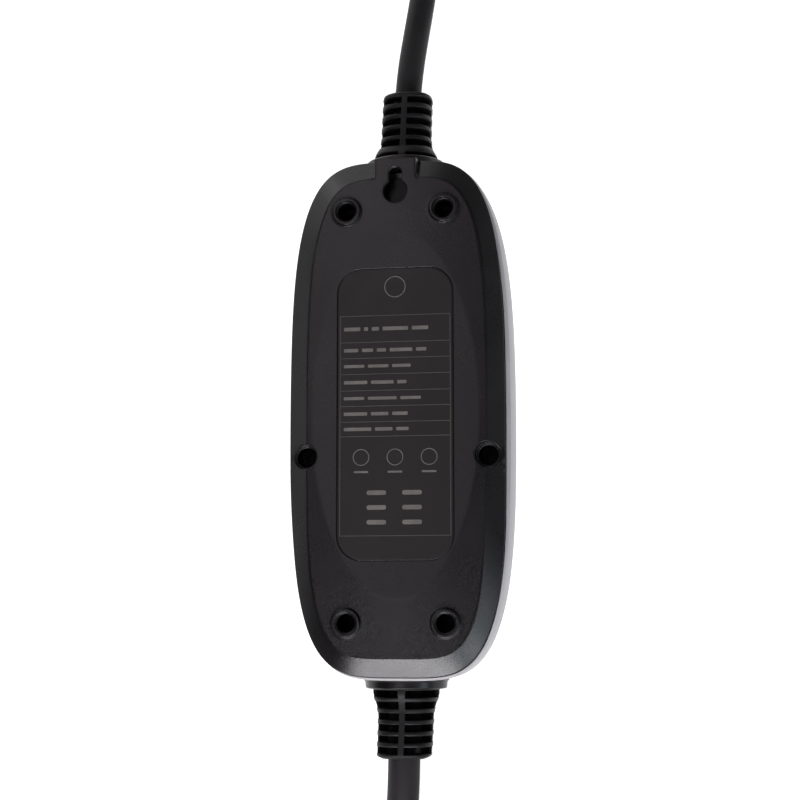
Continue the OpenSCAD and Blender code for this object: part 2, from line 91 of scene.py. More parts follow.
def blend_colour(t, fac, c0, c1, a=0.35, b=0.65):
    r = t.nodes.new("ShaderNodeValToRGB")
    r.color_ramp.elements[0].position = a
    r.color_ramp.elements[0].color = (*c0, 1)
    r.color_ramp.elements[1].position = b
    r.color_ramp.elements[1].color = (*c1, 1)
    t.links.new(fac, r.inputs[0])
    return r.outputs[0]


def moulded(name, c0, c1, rough=(0.4, 0.5), spec=0.5, grain=1800.0, depth=0.00004, strength=0.35,
            cloud=45.0, metallic=0.0, stretch=None, coat=0.0):
    """Moulded or drawn surface: faint cloud in the colour, uneven gloss and a fine grain."""
    m, t, p = nodes_of(name)
    co = t.nodes.new("ShaderNodeTexCoord").outputs["Object"]
    big = noise(t, co, cloud, 3.0)
    fine = noise(t, co, grain, 2.0, 0.6, stretch)
    t.links.new(blend_colour(t, big, c0, c1), p.inputs["Base Color"])
    mixed = t.nodes.new("ShaderNodeMath")
    mixed.operation = "MULTIPLY_ADD"
    t.links.new(fine, mixed.inputs[0])
    mixed.inputs[1].default_value = 0.6
    t.links.new(big, mixed.inputs[2])
    t.links.new(ramp(t, mixed.outputs[0], rough[0], rough[1], 0.55, 1.05), p.inputs["Roughness"])
    b = t.nodes.new("ShaderNodeBump")
    b.inputs["Strength"].default_value = strength
    b.inputs["Distance"].default_value = depth
    t.links.new(fine, b.inputs["Height"])
    t.links.new(b.outputs[0], p.inputs["Normal"])
    p.inputs["Specular IOR Level"].default_value = spec
    p.inputs["Metallic"].default_value = metallic
    p.inputs["Coat Weight"].default_value = coat
    return m


M = {}
M["cover_black"] = moulded("cover_black", (0.0038, 0.0032, 0.0037), (0.0050, 0.0042, 0.0049), (0.25, 0.32), 0.25, 2300, 0.00010, 0.9)
# Near-black, matt copy of the cover plastic for the faces deep in the screw bores and the keyhole's well: painted shade
# in those hollows.
M["bore_painted_shade"] = moulded("bore_painted_shade", (0.0012, 0.0012, 0.0012), (0.0018, 0.0018, 0.0018), (0.8, 0.9), 0.03, 900, 0.00003, 0.2)


def grain_zone(m):
    """The grain is at its coarsest outside the long oval, towards the vehicle lead's end."""
    t = m.node_tree
    bump = next(n for n in t.nodes if n.type == "BUMP")
    xyz = t.nodes.new("ShaderNodeSeparateXYZ")
    t.links.new(next(n for n in t.nodes if n.type == "TEX_COORD").outputs["Object"], xyz.inputs[0])

    def maths(op, a, b):
        n = t.nodes.new("ShaderNodeMath")
        n.operation = op
        for sock, v in zip(n.inputs, (a, b)):
            if isinstance(v, float):
                sock.default_value = v
            else:
                t.links.new(v, sock)
        return n.outputs[0]

    def span(v, a, b, c, d):
        n = t.nodes.new("ShaderNodeMapRange")
        n.interpolation_type = "SMOOTHSTEP"
        for sock, val in zip(list(n.inputs)[1:5], (a, b, c, d)):
            sock.default_value = val
        t.links.new(v, n.inputs[0])
        return n.outputs[0]

    ex = maths("POWER", maths("ABSOLUTE", maths("DIVIDE", xyz.outputs[0], 0.0336), 0.0), 2.0)
    ey = maths("POWER", maths("ABSOLUTE", maths("DIVIDE", maths("SUBTRACT", xyz.outputs[1], 0.0005), 0.0732), 0.0), 2.0)
    zone = maths("MULTIPLY", span(maths("ADD", ex, ey), 0.97, 1.06, 0.0, 1.0), span(xyz.outputs[1], -0.06, 0.03, 1.0, 0.0))
    up = t.nodes.new("ShaderNodeSeparateXYZ")
    t.links.new(t.nodes.new("ShaderNodeNewGeometry").outputs["True Normal"], up.inputs[0])
    flat = span(up.outputs[2], 0.84, 0.95, 0.0, 1.0)
    t.links.new(maths("ADD", maths("MULTIPLY", maths("MULTIPLY", zone, flat), 0.62), 0.24), bump.inputs["Strength"])


grain_zone(M["cover_black"])


def dust(m, scale, radius, colour):
    """A few pale specks of dust."""
    t = m.node_tree
    p = next(n for n in t.nodes if n.type == "BSDF_PRINCIPLED")
    v = t.nodes.new("ShaderNodeTexVoronoi")
    v.inputs["Scale"].default_value = scale
    t.links.new(next(n for n in t.nodes if n.type == "TEX_COORD").outputs["Object"], v.inputs["Vector"])
    sep = t.nodes.new("ShaderNodeSeparateColor")
    t.links.new(v.outputs["Color"], sep.inputs[0])
    near = t.nodes.new("ShaderNodeMath")
    near.operation = "LESS_THAN"
    t.links.new(v.outputs["Distance"], near.inputs[0])
    near.inputs[1].default_value = radius
    some = t.nodes.new("ShaderNodeMath")
    some.operation = "GREATER_THAN"
    t.links.new(sep.outputs[0], some.inputs[0])
    some.inputs[1].default_value = 0.5
    both = t.nodes.new("ShaderNodeMath")
    both.operation = "MULTIPLY"
    t.links.new(near.outputs[0], both.inputs[0])
    t.links.new(some.outputs[0], both.inputs[1])
    mix = t.nodes.new("ShaderNodeMix")
    mix.data_type = "RGBA"
    t.links.new(both.outputs[0], mix.inputs["Factor"])
    t.links.new(p.inputs["Base Color"].links[0].from_socket, mix.inputs[6])
    mix.inputs[7].default_value = (*colour, 1)
    t.links.new(mix.outputs[2], p.inputs["Base Color"])


dust(M["cover_black"], 140.0, 0.022, (0.075, 0.072, 0.070))
# Duller, lower-contrast copy of the cover plastic for the inside of the keyhole pocket: painted shade.
M["pocket_painted_shade"] = moulded("pocket_painted_shade", (0.0060, 0.0052, 0.0060), (0.0076, 0.0066, 0.0076), (0.34, 0.42), 0.15, 1400, 0.0001, 0.6)
# Lighter copy of the cover plastic for the mains collar, where the box shades it: painted light.
M["collar_painted_light"] = moulded("collar_painted_light", (0.0150, 0.0132, 0.0146), (0.0185, 0.0164, 0.0180), (0.34, 0.42), 0.34, 1400, 0.0001, 0.6)
M["housing_grey"] = moulded("housing_grey", (0.242, 0.231, 0.238), (0.262, 0.251, 0.258), (0.40, 0.5), 0.4, 1500, 0.00004, 0.2)
M["boot_rubber"] = moulded("boot_rubber", (0.0098, 0.0089, 0.0095), (0.0128, 0.0116, 0.0123), (0.44, 0.54), 0.18, 1300, 0.00006, 0.4)
M["cord_jacket"] = moulded("cord_jacket", (0.0140, 0.0127, 0.0135), (0.0189, 0.0174, 0.0184), (0.40, 0.52), 0.12, 1100, 0.00006, 0.35)
M["label_film"] = moulded("label_film", (0.0052, 0.0046, 0.0046), (0.0066, 0.0059, 0.0059), (0.30, 0.43), 0.235, 2400, 0.00003, 0.2)
M["label_ink"] = moulded("label_ink", (0.088, 0.082, 0.076), (0.112, 0.104, 0.096), (0.5, 0.6), 0.3, 2600, 0.00002, 0.3, 220)
M["label_ink_dim"] = moulded("label_ink_dim", (0.040, 0.037, 0.035), (0.052, 0.048, 0.045), (0.5, 0.6), 0.3, 2600, 0.00002, 0.3, 220)
# Screws near-black and dull: black oxide in part, and in part painted shade deep in the bores.
M["screw_steel"] = moulded("screw_steel", (0.0022, 0.0022, 0.0023), (0.0032, 0.0032, 0.0034), (0.6, 0.72), 0.06, 900, 0.00003, 0.2, 120)
M["boot_rubber_dark"] = moulded("boot_rubber_dark", (0.0066, 0.0060, 0.0064), (0.0086, 0.0078, 0.0083), (0.46, 0.56), 0.14, 1300, 0.00006, 0.4)
# Near-black, matt copy of the boot rubber for the faces deep in the boots' slots: painted shade.
M["boot_slot_painted_shade"] = moulded("boot_slot_painted_shade", (0.0035, 0.0033, 0.0034), (0.0050, 0.0047, 0.0049), (0.7, 0.8), 0.04, 1300, 0.00005, 0.4)
M["seal_rubber"] = moulded("seal_rubber", (0.03, 0.03, 0.03), (0.045, 0.045, 0.045), (0.6, 0.7), 0.4)
M["panel_film"] = moulded("panel_film", (0.018, 0.018, 0.021), (0.024, 0.024, 0.028), (0.16, 0.24), 0.5, 700, 0.00002, 0.1)
M["clear_plastic"] = moulded("clear_plastic", (0.66, 0.71, 0.74), (0.75, 0.79, 0.82), (0.12, 0.2), 0.5, 700, 0.00002, 0.1)
M["board_green"] = moulded("board_green", (0.012, 0.10, 0.04), (0.02, 0.15, 0.065), (0.3, 0.4), 0.5, 500, 0.00004, 0.2, 160)
M["relay_blue"] = moulded("relay_blue", (0.02, 0.05, 0.17), (0.028, 0.066, 0.21), (0.35, 0.45), 0.5)
M["part_dark"] = moulded("part_dark", (0.018, 0.018, 0.02), (0.027, 0.027, 0.029), (0.4, 0.5), 0.5)
M["capacitor_yellow"] = moulded("capacitor_yellow", (0.48, 0.33, 0.05), (0.55, 0.39, 0.07), (0.35, 0.45), 0.5)
M["fuse_ceramic"] = moulded("fuse_ceramic", (0.62, 0.6, 0.55), (0.7, 0.68, 0.62), (0.3, 0.4), 0.5)
M["terminal_green"] = moulded("terminal_green", (0.04, 0.19, 0.065), (0.05, 0.23, 0.085), (0.4, 0.5), 0.5)
M["wire_sleeve"] = moulded("wire_sleeve", (0.16, 0.08, 0.035), (0.2, 0.1, 0.045), (0.35, 0.45), 0.5)
M["clamp_grey"] = moulded("clamp_grey", (0.08, 0.08, 0.08), (0.1, 0.1, 0.1), (0.45, 0.55), 0.45)
M["plug_black"] = moulded("plug_black", (0.011, 0.011, 0.0115), (0.0145, 0.0142, 0.015), (0.38, 0.48), 0.42, 1200, 0.00005, 0.3)
M["contact_metal"] = moulded("contact_metal", (0.60, 0.58, 0.53), (0.68, 0.66, 0.61), (0.18, 0.28), 0.5, 700, 0.00002, 0.15, 150, 1.0)
M["connector_black"] = moulded("connector_black", (0.012, 0.012, 0.013), (0.016, 0.0158, 0.017), (0.46, 0.58), 0.28, 1300, 0.00006, 0.35)
M["nose_grey"] = moulded("nose_grey", (0.03, 0.03, 0.033), (0.038, 0.038, 0.041), (0.35, 0.45), 0.45, 1200, 0.00004, 0.25)
M["grip_rubber"] = moulded("grip_rubber", (0.016, 0.016, 0.017), (0.022, 0.022, 0.023), (0.6, 0.72), 0.32, 900, 0.00008, 0.5)
M["strap_weave"] = moulded("strap_weave", (0.012, 0.012, 0.013), (0.030, 0.030, 0.031), (0.75, 0.9), 0.2, 1100, 0.0003, 0.9, 900)

SLOT = {s["node"]: s["material_slot"] for s in frame["record"]["subparts"]}
for name, o in NODES.items():
    o.data.materials.clear()
    o.data.materials.append(M[SLOT[name]])


# ------------------------------------------------------------------ mesh helpers
def make(name, verts, faces, mat, nodes=(), sharp=None, recalc=True):
    me = bpy.data.meshes.new(name)
    me.from_pydata([(float(x) * MM, float(y) * MM, float(z) * MM) for x, y, z in verts], [], [tuple(int(i) for i in f) for f in faces])
    me.update()
    if recalc:
        bm = bmesh.new()
        bm.from_mesh(me)
        bmesh.ops.remove_doubles(bm, verts=bm.verts, dist=1e-7)
        bmesh.ops.recalc_face_normals(bm, faces=bm.faces)
        bm.to_mesh(me)
        bm.free()
    me.polygons.foreach_set("use_smooth", [True] * len(me.polygons))
    if sharp is not None:
        me.set_sharp_from_angle(angle=math.radians(sharp))
    o = bpy.data.objects.new(name, me)
    scene.collection.objects.link(o)
    me.materials.append(M[mat] if isinstance(mat, str) else mat)
    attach(o, "root")
    if nodes:
        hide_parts(*nodes)
    return o


class Build:
    """Collects vertices and faces of one piece."""

    def __init__(self):
        self.v, self.f = [], []

    def add(self, verts, faces):
        k = len(self.v)
        self.v.extend([tuple(p) for p in verts])
        self.f.extend([tuple(i + k for i in f) for f in faces])
        return k

    def loop(self, pts):
        k = len(self.v)
        self.v.extend([tuple(p) for p in pts])
        return list(range(k, k + len(pts)))

    def bridge(self, a, b):
        n = len(a)
        for i in range(n):
            j = (i + 1) % n
            self.f.append((a[i], a[j], b[j], b[i]))

    def cap(self, a):
        self.f.append(tuple(a))

    def fan(self, a, centre):
        k = len(self.v)
        self.v.append(tuple(centre))
        n = len(a)
        for i in range(n):
            self.f.append((a[i], a[(i + 1) % n], k))


def lathe(profile, segs, place, closed=True):
    """Rings of (radius, height) turned about an axis; place maps (x, y, h) to the frame."""
    b = Build()
    rings = []
    for r, h in profile:
        if r < 1e-6:
            rings.append(b.loop([place(0, 0, h)]))
        else:
            rings.append(b.loop([place(r * math.cos(2 * math.pi * i / segs), r * math.sin(2 * math.pi * i / segs), h) for i in range(segs)]))
    pairs = list(zip(rings, rings[1:]))
    if closed:
        pairs.append((rings[-1], rings[0]))
    for p, q in pairs:
        if len(p) == 1 and len(q) == 1:
            continue
        if len(p) == 1 or len(q) == 1:
            one, many = (p, q) if len(p) == 1 else (q, p)
            for i in range(segs):
                b.f.append((many[i], many[(i + 1) % segs], one[0]))
        else:
            b.bridge(p, q)
    return b


def rounded(points, radius, steps=4):
    """Profile polyline with its inner corners rounded. points: (r, h) or (r, h, own radius)."""
    pts = [np.array(p[:2], float) for p in points]
    rad = [p[2] if len(p) > 2 else radius for p in points]
    out = [tuple(pts[0])]
    for i in range(1, len(pts) - 1):
        a, c, e = pts[i - 1], pts[i], pts[i + 1]
        u, w = a - c, e - c
        lu, lw = np.linalg.norm(u), np.linalg.norm(w)
        if rad[i] <= 0 or lu < 1e-9 or lw < 1e-9:
            out.append(tuple(c))
            continue
        u, w = u / lu, w / lw
        ang = math.acos(max(-1, min(1, float(u @ w))))
        if ang > math.pi - 0.02:
            out.append(tuple(c))
            continue
        d = min(rad[i] / math.tan(ang / 2), lu * 0.49, lw * 0.49)
        for k in range(steps + 1):
            s = k / steps
            out.append(tuple((1 - s) ** 2 * (c + u * d) + 2 * s * (1 - s) * c + s * s * (c + w * d)))
    out.append(tuple(pts[-1]))
    return out


def smooth(t):
    t = np.clip(t, 0, 1)
    return t * t * (3 - 2 * t)


def catmull(points, first, last, step=2.0):
    """Smooth curve through the points with given end directions, sampled about every step."""
    p = [np.array(q, float) for q in points]
    n = len(p)
    tang = []
    for i in range(n):
        if i == 0:
            d = np.array(first, float)
            d = d / np.linalg.norm(d) * np.linalg.norm(p[1] - p[0])
        elif i == n - 1:
            d = np.array(last, float)
            d = d / np.linalg.norm(d) * np.linalg.norm(p[-1] - p[-2])
        else:
            l0, l1 = np.linalg.norm(p[i] - p[i - 1]), np.linalg.norm(p[i + 1] - p[i])
            d = ((p[i] - p[i - 1]) / l0 * l1 + (p[i + 1] - p[i]) / l1 * l0) / (l0 + l1)
            d = d / np.linalg.norm(d) * min(l0, l1) if np.linalg.norm(d) > 1e-9 else d
        tang.append(d)
    out = []
    for i in range(n - 1):
        seg = np.linalg.norm(p[i + 1] - p[i])
        k = max(4, int(seg / step))
        m0 = tang[i] / max(np.linalg.norm(tang[i]), 1e-9) * seg
        m1 = tang[i + 1] / max(np.linalg.norm(tang[i + 1]), 1e-9) * seg
        for j in range(k):
            s = j / k
            h00, h10 = 2 * s**3 - 3 * s**2 + 1, s**3 - 2 * s**2 + s
            h01, h11 = -2 * s**3 + 3 * s**2, s**3 - s**2
            out.append(h00 * p[i] + h10 * m0 + h01 * p[i + 1] + h11 * m1)
    out.append(p[-1])
    return out


def evenly(path, step):
    p = np.array(path, float)
    d = np.concatenate([[0], np.cumsum(np.linalg.norm(np.diff(p, axis=0), axis=1))])
    n = max(2, int(round(d[-1] / step)))
    s = np.linspace(0, d[-1], n + 1)
    return np.stack([np.interp(s, d, p[:, i]) for i in range(3)], 1), d[-1]


def tube(path, radius, sides=20):
    """Closed tube along evenly spaced points, with frames carried along without twist."""
    p = np.array(path, float)
    t = np.gradient(p, axis=0)
    t /= np.linalg.norm(t, axis=1)[:, None]
    u = np.cross(t[0], [0, 0, 1.0])
    if np.linalg.norm(u) < 1e-6:
        u = np.array([1.0, 0, 0])
    u /= np.linalg.norm(u)
    b = Build()
    rings = []
    for i in range(len(p)):
        u = u - t[i] * (u @ t[i])
        u /= np.linalg.norm(u)
        w = np.cross(t[i], u)
        rings.append(b.loop([p[i] + radius * (math.cos(2 * math.pi * k / sides) * u + math.sin(2 * math.pi * k / sides) * w) for k in range(sides)]))
    for r, q in zip(rings, rings[1:]):
        b.bridge(r, q)
    b.fan(rings[0], p[0])
    b.fan(rings[-1], p[-1])
    return b


# ------------------------------------------------------------------ outlines of the box
def polar(a, b, n, phi, low=None, bow=0.0, dx=0.0, dy=0.0):
    """Rounded outline. low: exponent of the lower half, bow: swell of the long sides."""
    c, s = np.cos(phi), np.sin(phi)
    e = np.where(s < 0, n if low is None else low, n)
    r = (np.abs(c / a) ** e + np.abs(s / b) ** e) ** (-1.0 / e)
    x, y = r * c, r * s
    return x * (1 + bow * (1 - (y / 104.0) ** 2)) + dx, y + dy


def even_phi(a, b, n, count):
    phi = np.linspace(0, 2 * math.pi, 20001)
    x, y = polar(a, b, n, phi)
    d = np.concatenate([[0], np.cumsum(np.hypot(np.diff(x), np.diff(y)))])
    return np.interp(np.linspace(0, d[-1], count, endpoint=False), d, phi)


TOP, SEAM, RIM = 56.0, 47.0, 49.5
CORNER = [(-19.75, 82.4), (19.6, 82.5), (-19.65, -82.05), (19.65, -82.05)]
SIDE = [(-36.45, -16.5), (36.45, -16.5)]


BOW = 0.066


def cover_form(k):
    """Half width, half length, exponents and middle of the cover's outline at a level."""
    return 33.8 + 6.95 * k, 95.85 + 7.85 * k, 4.4 - 0.22 * k, 4.7 - 0.5 * k, 0.4 - 0.82 * k, 0.45 * k


def lean(k, v):
    """Small sideways shift of the outline towards the vehicle lead's end."""
    return (0.75 * k - 0.3) * smooth((-20 - v) / 40)


def cover_ring(k, phis):
    a, b, n, low, dx, dy = cover_form(k)
    x, y = polar(a, b, n, phis, low, BOW, dx, dy)
    return x + lean(k, y - dy), y


def level(x, y):
    """0 on the plateau's edge, 1 on the cover's rim, negative on the plateau."""
    x, y = np.asarray(x, float), np.asarray(y, float)
    lo, hi = np.full(x.shape, -2.0), np.full(x.shape, 1.4)
    for _ in range(44):
        k = (lo + hi) / 2
        a, b, n, low, dx, dy = cover_form(k)
        v = y - dy
        u = (x - dx - lean(k, v)) / (1 + BOW * (1 - (v / 104.0) ** 2))
        e = np.where(v < 0, low, n)
        out = np.abs(u / a) ** e + np.abs(v / b) ** e > 1
        lo, hi = np.where(out, k, lo), np.where(out, hi, k)
    return (lo + hi) / 2


def soft_max0(d, w):
    return np.where(d < -w, 0, np.where(d > w, d, (d + w) ** 2 / (4 * w)))


def fall(x, y):
    """How far the plateau falls away outside its long oval middle."""
    e = np.sqrt((x / 33.6) ** 2 + ((y - 0.5) / 73.2) ** 2)
    d = np.hypot(x, y - 0.5) * (1 - 1 / np.maximum(e, 1e-6))
    return (0.072 - 0.040 * smooth((np.asarray(y, float) + 15) / 40)) * soft_max0(d, 0.7) + 0.0006 * np.maximum(0, -70 - np.asarray(y, float)) ** 2


RING = [(6.6, 0.0), (6.3, 0.02), (6.08, 0.08), (5.92, 0.2), (5.82, 0.45), (5.75, 0.8), (5.68, 1.15), (5.58, 1.4), (5.44, 1.54), (5.25, 1.6)]
MOUTH = [(4.6, 1.6), (4.48, 1.57), (4.41, 1.5), (4.36, 1.38)]


def ring_rise(rho):
    pts = sorted(RING + MOUTH)
    return np.interp(rho, [p[0] for p in pts], [p[1] for p in pts], right=0.0)


LW, LL, LR, LY = 46.6, 116.5, 10.1, 0.4      # label recess


def box_dist(x, y, w, l, r, cy):
    qx, qy = np.abs(x) - (w / 2 - r), np.abs(y - cy) - (l / 2 - r)
    return np.hypot(np.maximum(qx, 0), np.maximum(qy, 0)) + np.minimum(np.maximum(qx, qy), 0) - r


def key_dist(x, y, grow=0.0):
    """Signed distance to the keyhole's outline, negative inside."""
    d1 = np.hypot(x, y - 90.5) - 4.8
    yy = np.clip(y, 90.5, 97.9)
    d2 = np.hypot(x, y - yy) - 2.6
    return np.minimum(d1, d2) - grow


TAB_X, TAB_END = 8.5, 104.7


def cover_z(x, y):
    x, y = np.asarray(x, float), np.asarray(y, float)
    k = level(x, y)
    out = np.clip(k, 0, 1.2)
    drop = fall(x * 33.8 / (33.8 + 6.95 * out), y * 95.85 / (95.85 + 7.85 * out))
    g = soft_max0(k, 0.012)
    z = TOP - drop * (1 - np.clip(k, 0, 1)) - 6.5 * g
    # tab that carries the plateau out over the bevel
    flat = TOP - drop
    wall = smooth((TAB_X + 0.25 - np.abs(x)) / 0.5) * smooth((TAB_END + 0.3 - y) / 0.6) * (y > 60)
    soft = 0.14 * (1 - smooth((TAB_X - np.abs(x)) / 0.6)) + 0.25 * (1 - smooth((TAB_END - y) / 0.8))
    z = np.where(wall > 0, np.maximum(z, z + (np.maximum(flat - soft, z) - z) * wall), z)
    z = z - 0.8 * (x > 0) * smooth((np.abs(x) - TAB_X - 0.2) / 0.15) * smooth((TAB_X + 0.95 - np.abs(x)) / 0.2) * smooth((y - 95.0) / 3.0)
    for cx, cy in CORNER:
        z = z + ring_rise(np.hypot(x - cx, y - cy))
    for cx, cy in SIDE:
        rho = np.hypot(x - cx, y - cy)
        z = z - np.interp(rho, [5.0, 5.06, 5.16, 5.34], [0.3, 0.15, 0.04, 0.0])
    kd = key_dist(x, y)
    z = z - np.interp(kd, [0.0, 0.08, 0.2, 0.4], [0.3, 0.14, 0.04, 0.0])
    # label recess
    bd = box_dist(x, y, LW, LL, LR, LY)
    z = z - 0.42 * smooth((0.06 - bd) / 0.12)
    return z


def circle(cx, cy, r, n):
    return [(cx + r * math.cos(2 * math.pi * i / n), cy + r * math.sin(2 * math.pi * i / n)) for i in range(n)]


def key_outline(grow, arc=56, line=14, cap=24):
    r, h = 4.8 + grow, 2.6 + grow
    a = math.asin(h / r)
    y0 = 90.5 + r * math.cos(a)
    pts = []
    for i in range(arc):
        t = math.pi / 2 + a + (2 * math.pi - 2 * a) * i / arc
        pts.append((r * math.cos(t), 90.5 + r * math.sin(t)))
    for i in range(line):
        pts.append((h, y0 + (97.9 - y0) * i / line))
    for i in range(cap):
        t = math.pi * i / cap
        pts.append((h * math.cos(t), 97.9 + h * math.sin(t)))
    for i in range(line):
        pts.append((-h, 97.9 + (y0 - 97.9) * i / line))
    return pts


def rect_outline(w, l, r, cy, step=1.2):
    pts = []
    n = 14
    for sx, sy, t0 in ((1, 1, 0), (-1, 1, 90), (-1, -1, 180), (1, -1, 270)):
        for i in range(n + 1):
            t = math.radians(t0 + 90 * i / n)
            pts.append((sx * (w / 2 - r) + r * math.cos(t), cy + sy * (l / 2 - r) + r * math.sin(t)))
    out = []
    for i in range(len(pts)):
        a, c = np.array(pts[i]), np.array(pts[(i + 1) % len(pts)])
        m = max(1, int(np.linalg.norm(c - a) / step))
        for j in range(m):
            out.append(tuple(a + (c - a) * j / m))
    return out


# ------------------------------------------------------------------ back cover
def back_cover():
    phis = even_phi(43.4, 103.4, 4.2, 620)
    side = np.array([math.atan2(103.7, s * (TAB_X + d) + 0.4) for s in (-1, 1) for d in (-0.8, -0.5, -0.25, -0.08, 0.08, 0.25, 0.5, 0.9)])
    phis = np.sort(np.concatenate([phis[np.min(np.abs(phis[:, None] - side[None]), 1) > 0.0022], side]))
    outer = list(zip(*cover_ring(0.95, phis)))
    pts, edges = [], []
    loops = {}

    def put(loop, name=None, closed=True):
        k = len(pts)
        pts.extend(loop)
        m = len(loop)
        edges.extend([(k + i, k + (i + 1) % m) for i in range(m if closed else m - 1)])
        if name is not None:
            loops[name] = list(range(k, k + m))

    put(outer, "outer")
    for i, (cx, cy) in enumerate(CORNER):
        put(circle(cx, cy, MOUTH[-1][0], 72), ("corner", i))
        for r, _ in MOUTH[:-1]:
            put(circle(cx, cy, r, 72))
        for r, _ in RING:
            put(circle(cx, cy, r, 72))
        put(circle(cx, cy, 7.9, 72))
    for i, (cx, cy) in enumerate(SIDE):
        put(circle(cx, cy, 5.0, 72), ("side", i))
        for r in (5.06, 5.16, 5.34, 5.6):
            pts.extend(circle(cx, cy, r, 72))
    put(key_outline(0.0), "key")
    for g in (0.08, 0.2, 0.4, 0.75):
        put(key_outline(g))
    for d in (-0.35, -0.12, 0.0, 0.12, 0.35):
        put(rect_outline(LW + 2 * d, LL + 2 * d, LR + d, LY))
    free = []
    keep_ring = lambda x, y: all(math.hypot(x - cx, y - cy) > 5.85 for cx, cy in SIDE) and not (abs(x) < TAB_X + 1.2 and y > 90)
    for k in (-0.12, -0.04, -0.012, 0.0, 0.012, 0.04, 0.12, 0.3, 0.5, 0.72, 0.88):
        ring = list(zip(*cover_ring(k, phis)))
        free += [p for p in ring if keep_ring(*p)]
    ell = np.linspace(0, 2 * math.pi, 420, endpoint=False)
    for g in (-0.9, -0.35, 0.0, 0.35, 0.9):
        free += [p for p in zip((33.6 + g) * np.cos(ell), 0.5 + (73.2 + g) * np.sin(ell)) if math.hypot(abs(p[0]) - 36.45, p[1] + 16.5) > 5.85]
    for x in (TAB_X - 0.9, TAB_X - 0.5, TAB_X - 0.25, TAB_X - 0.08, TAB_X + 0.08, TAB_X + 0.25, TAB_X + 0.36, TAB_X + 0.6, TAB_X + 0.75, TAB_X + 0.95, TAB_X + 1.3):
        for y in np.arange(91.0, 103.2, 0.35):
            free += [(x, y), (-x, y)]
    for y in (100.9, 101.5, 102.1, 102.6, 102.9, 103.1):
        for x in np.arange(-7.4, 7.41, 0.4):
            free.append((x, y))
    fixed = np.array(pts)
    # remaining surface: an even triangular grid
    grid = []
    row = 0
    for y in np.arange(-103.5, 103.6, 1.5):
        for x in np.arange(-44 + (0.85 if row % 2 else 0), 44, 1.7):
            grid.append((x, y))
        row += 1
    cand = np.array(free + grid)
    nf = len(free)
    inside = level(cand[:, 0], cand[:, 1]) < 0.93
    for cx, cy in CORNER:
        inside &= np.hypot(cand[:, 0] - cx, cand[:, 1] - cy) > 8.15
    for cx, cy in SIDE:
        inside &= np.hypot(cand[:, 0] - cx, cand[:, 1] - cy) > 5.8
    inside &= key_dist(cand[:, 0], cand[:, 1]) > 0.95
    inside &= np.abs(box_dist(cand[:, 0], cand[:, 1], LW, LL, LR, LY)) > 0.55
    kept = [tuple(p) for p in cand[:nf][inside[:nf]]]
    from mathutils.kdtree import KDTree
    allp = list(map(tuple, fixed)) + kept
    tree = KDTree(len(allp))
    for i, p in enumerate(allp):
        tree.insert((p[0], p[1], 0), i)
    tree.balance()
    for p in cand[nf:][inside[nf:]]:
        if tree.find((p[0], p[1], 0))[2] > 0.75:
            kept.append(tuple(p))
    pts += kept
    res = delaunay_2d_cdt([Vector((float(p[0]), float(p[1]))) for p in pts], edges, [], 0, 1e-5)
    verts, faces, orig = res[0], res[2], res[3]
    back = {}
    for i, src in enumerate(orig):
        for s in src:
            back[s] = i
    xy = np.array([(v.x, v.y) for v in verts])
    tri = np.array([tuple(f) for f in faces])
    cen = xy[tri].mean(1)
    ok = level(cen[:, 0], cen[:, 1]) < 0.9501
    for cx, cy in CORNER:
        ok &= np.hypot(cen[:, 0] - cx, cen[:, 1] - cy) > MOUTH[-1][0] - 0.01
    for cx, cy in SIDE:
        ok &= np.hypot(cen[:, 0] - cx, cen[:, 1] - cy) > 4.99
    ok &= key_dist(cen[:, 0], cen[:, 1]) > -0.004
    z = cover_z(xy[:, 0], xy[:, 1])
    g = Build()
    g.add(np.column_stack([xy, z]), tri[ok])
    # rim
    last = [back[i] for i in loops["outer"]]
    for i, (k, zz) in enumerate(((0.972, 49.7), (0.988, 49.6), (0.998, 49.52), (1.0, 49.44), (0.998, 49.1), (0.985, 48.4), (0.96, 47.2), (0.90, 46.6))):
        x, y = cover_ring(k, phis)
        zs = np.full(len(x), zz)
        if i < 3:
            tab = (np.abs(x) < TAB_X + 0.4) & (y > 60)
            zs = cover_z(x, y) - np.where(tab, (0, 0.08, 0.3)[i], (0, 0.015, 0.05)[i])
        ring = g.loop(list(zip(x, y, zs)))
        g.bridge(last, ring)
        last = ring
    # screw bores: step at the mouth, smooth bore, seat, clearance hole
    for kind, places, steps in (
        ("corner", CORNER, [(4.33, 56.2), (4.3, 55.95), (4.23, 55.87), (4.05, 55.83), (3.82, 55.79), (3.7, 55.7), (3.63, 55.4), (3.6, 54.9)]),
        ("side", SIDE, [(4.96, 51.3), (4.94, 50.9), (4.87, 50.8), (4.4, 50.76), (4.0, 50.68), (3.9, 50.5), (3.84, 50.1), (3.82, 49.6)])):
        for i, (cx, cy) in enumerate(places):
            last = [back[j] for j in loops[(kind, i)]]
            w = steps[-1][0]
            for r, zz in steps + [(w, 49.0), (w, 46.0), (w, 43.2), (w - 0.25, 43.05), (2.3, 43.02), (2.2, 42.8), (2.2, 40.5)]:
                ring = g.loop([(px, py, zz) for px, py in circle(cx, cy, r, 72)])
                g.bridge(last, ring)
                last = ring
    # keyhole wall, down to the wider pocket below it
    last = [back[j] for j in loops["key"]]
    for gr, zz in ((-0.03, 55.0), (-0.03, 53.9), (0.0, 53.5), (0.1, 53.4)):
        ring = g.loop([(x, y, zz) for x, y in key_outline(gr)])
        g.bridge(last, ring)
        last = ring
    o = make("back_cover_shell", g.v, g.f, "cover_black", ["back_cover"])
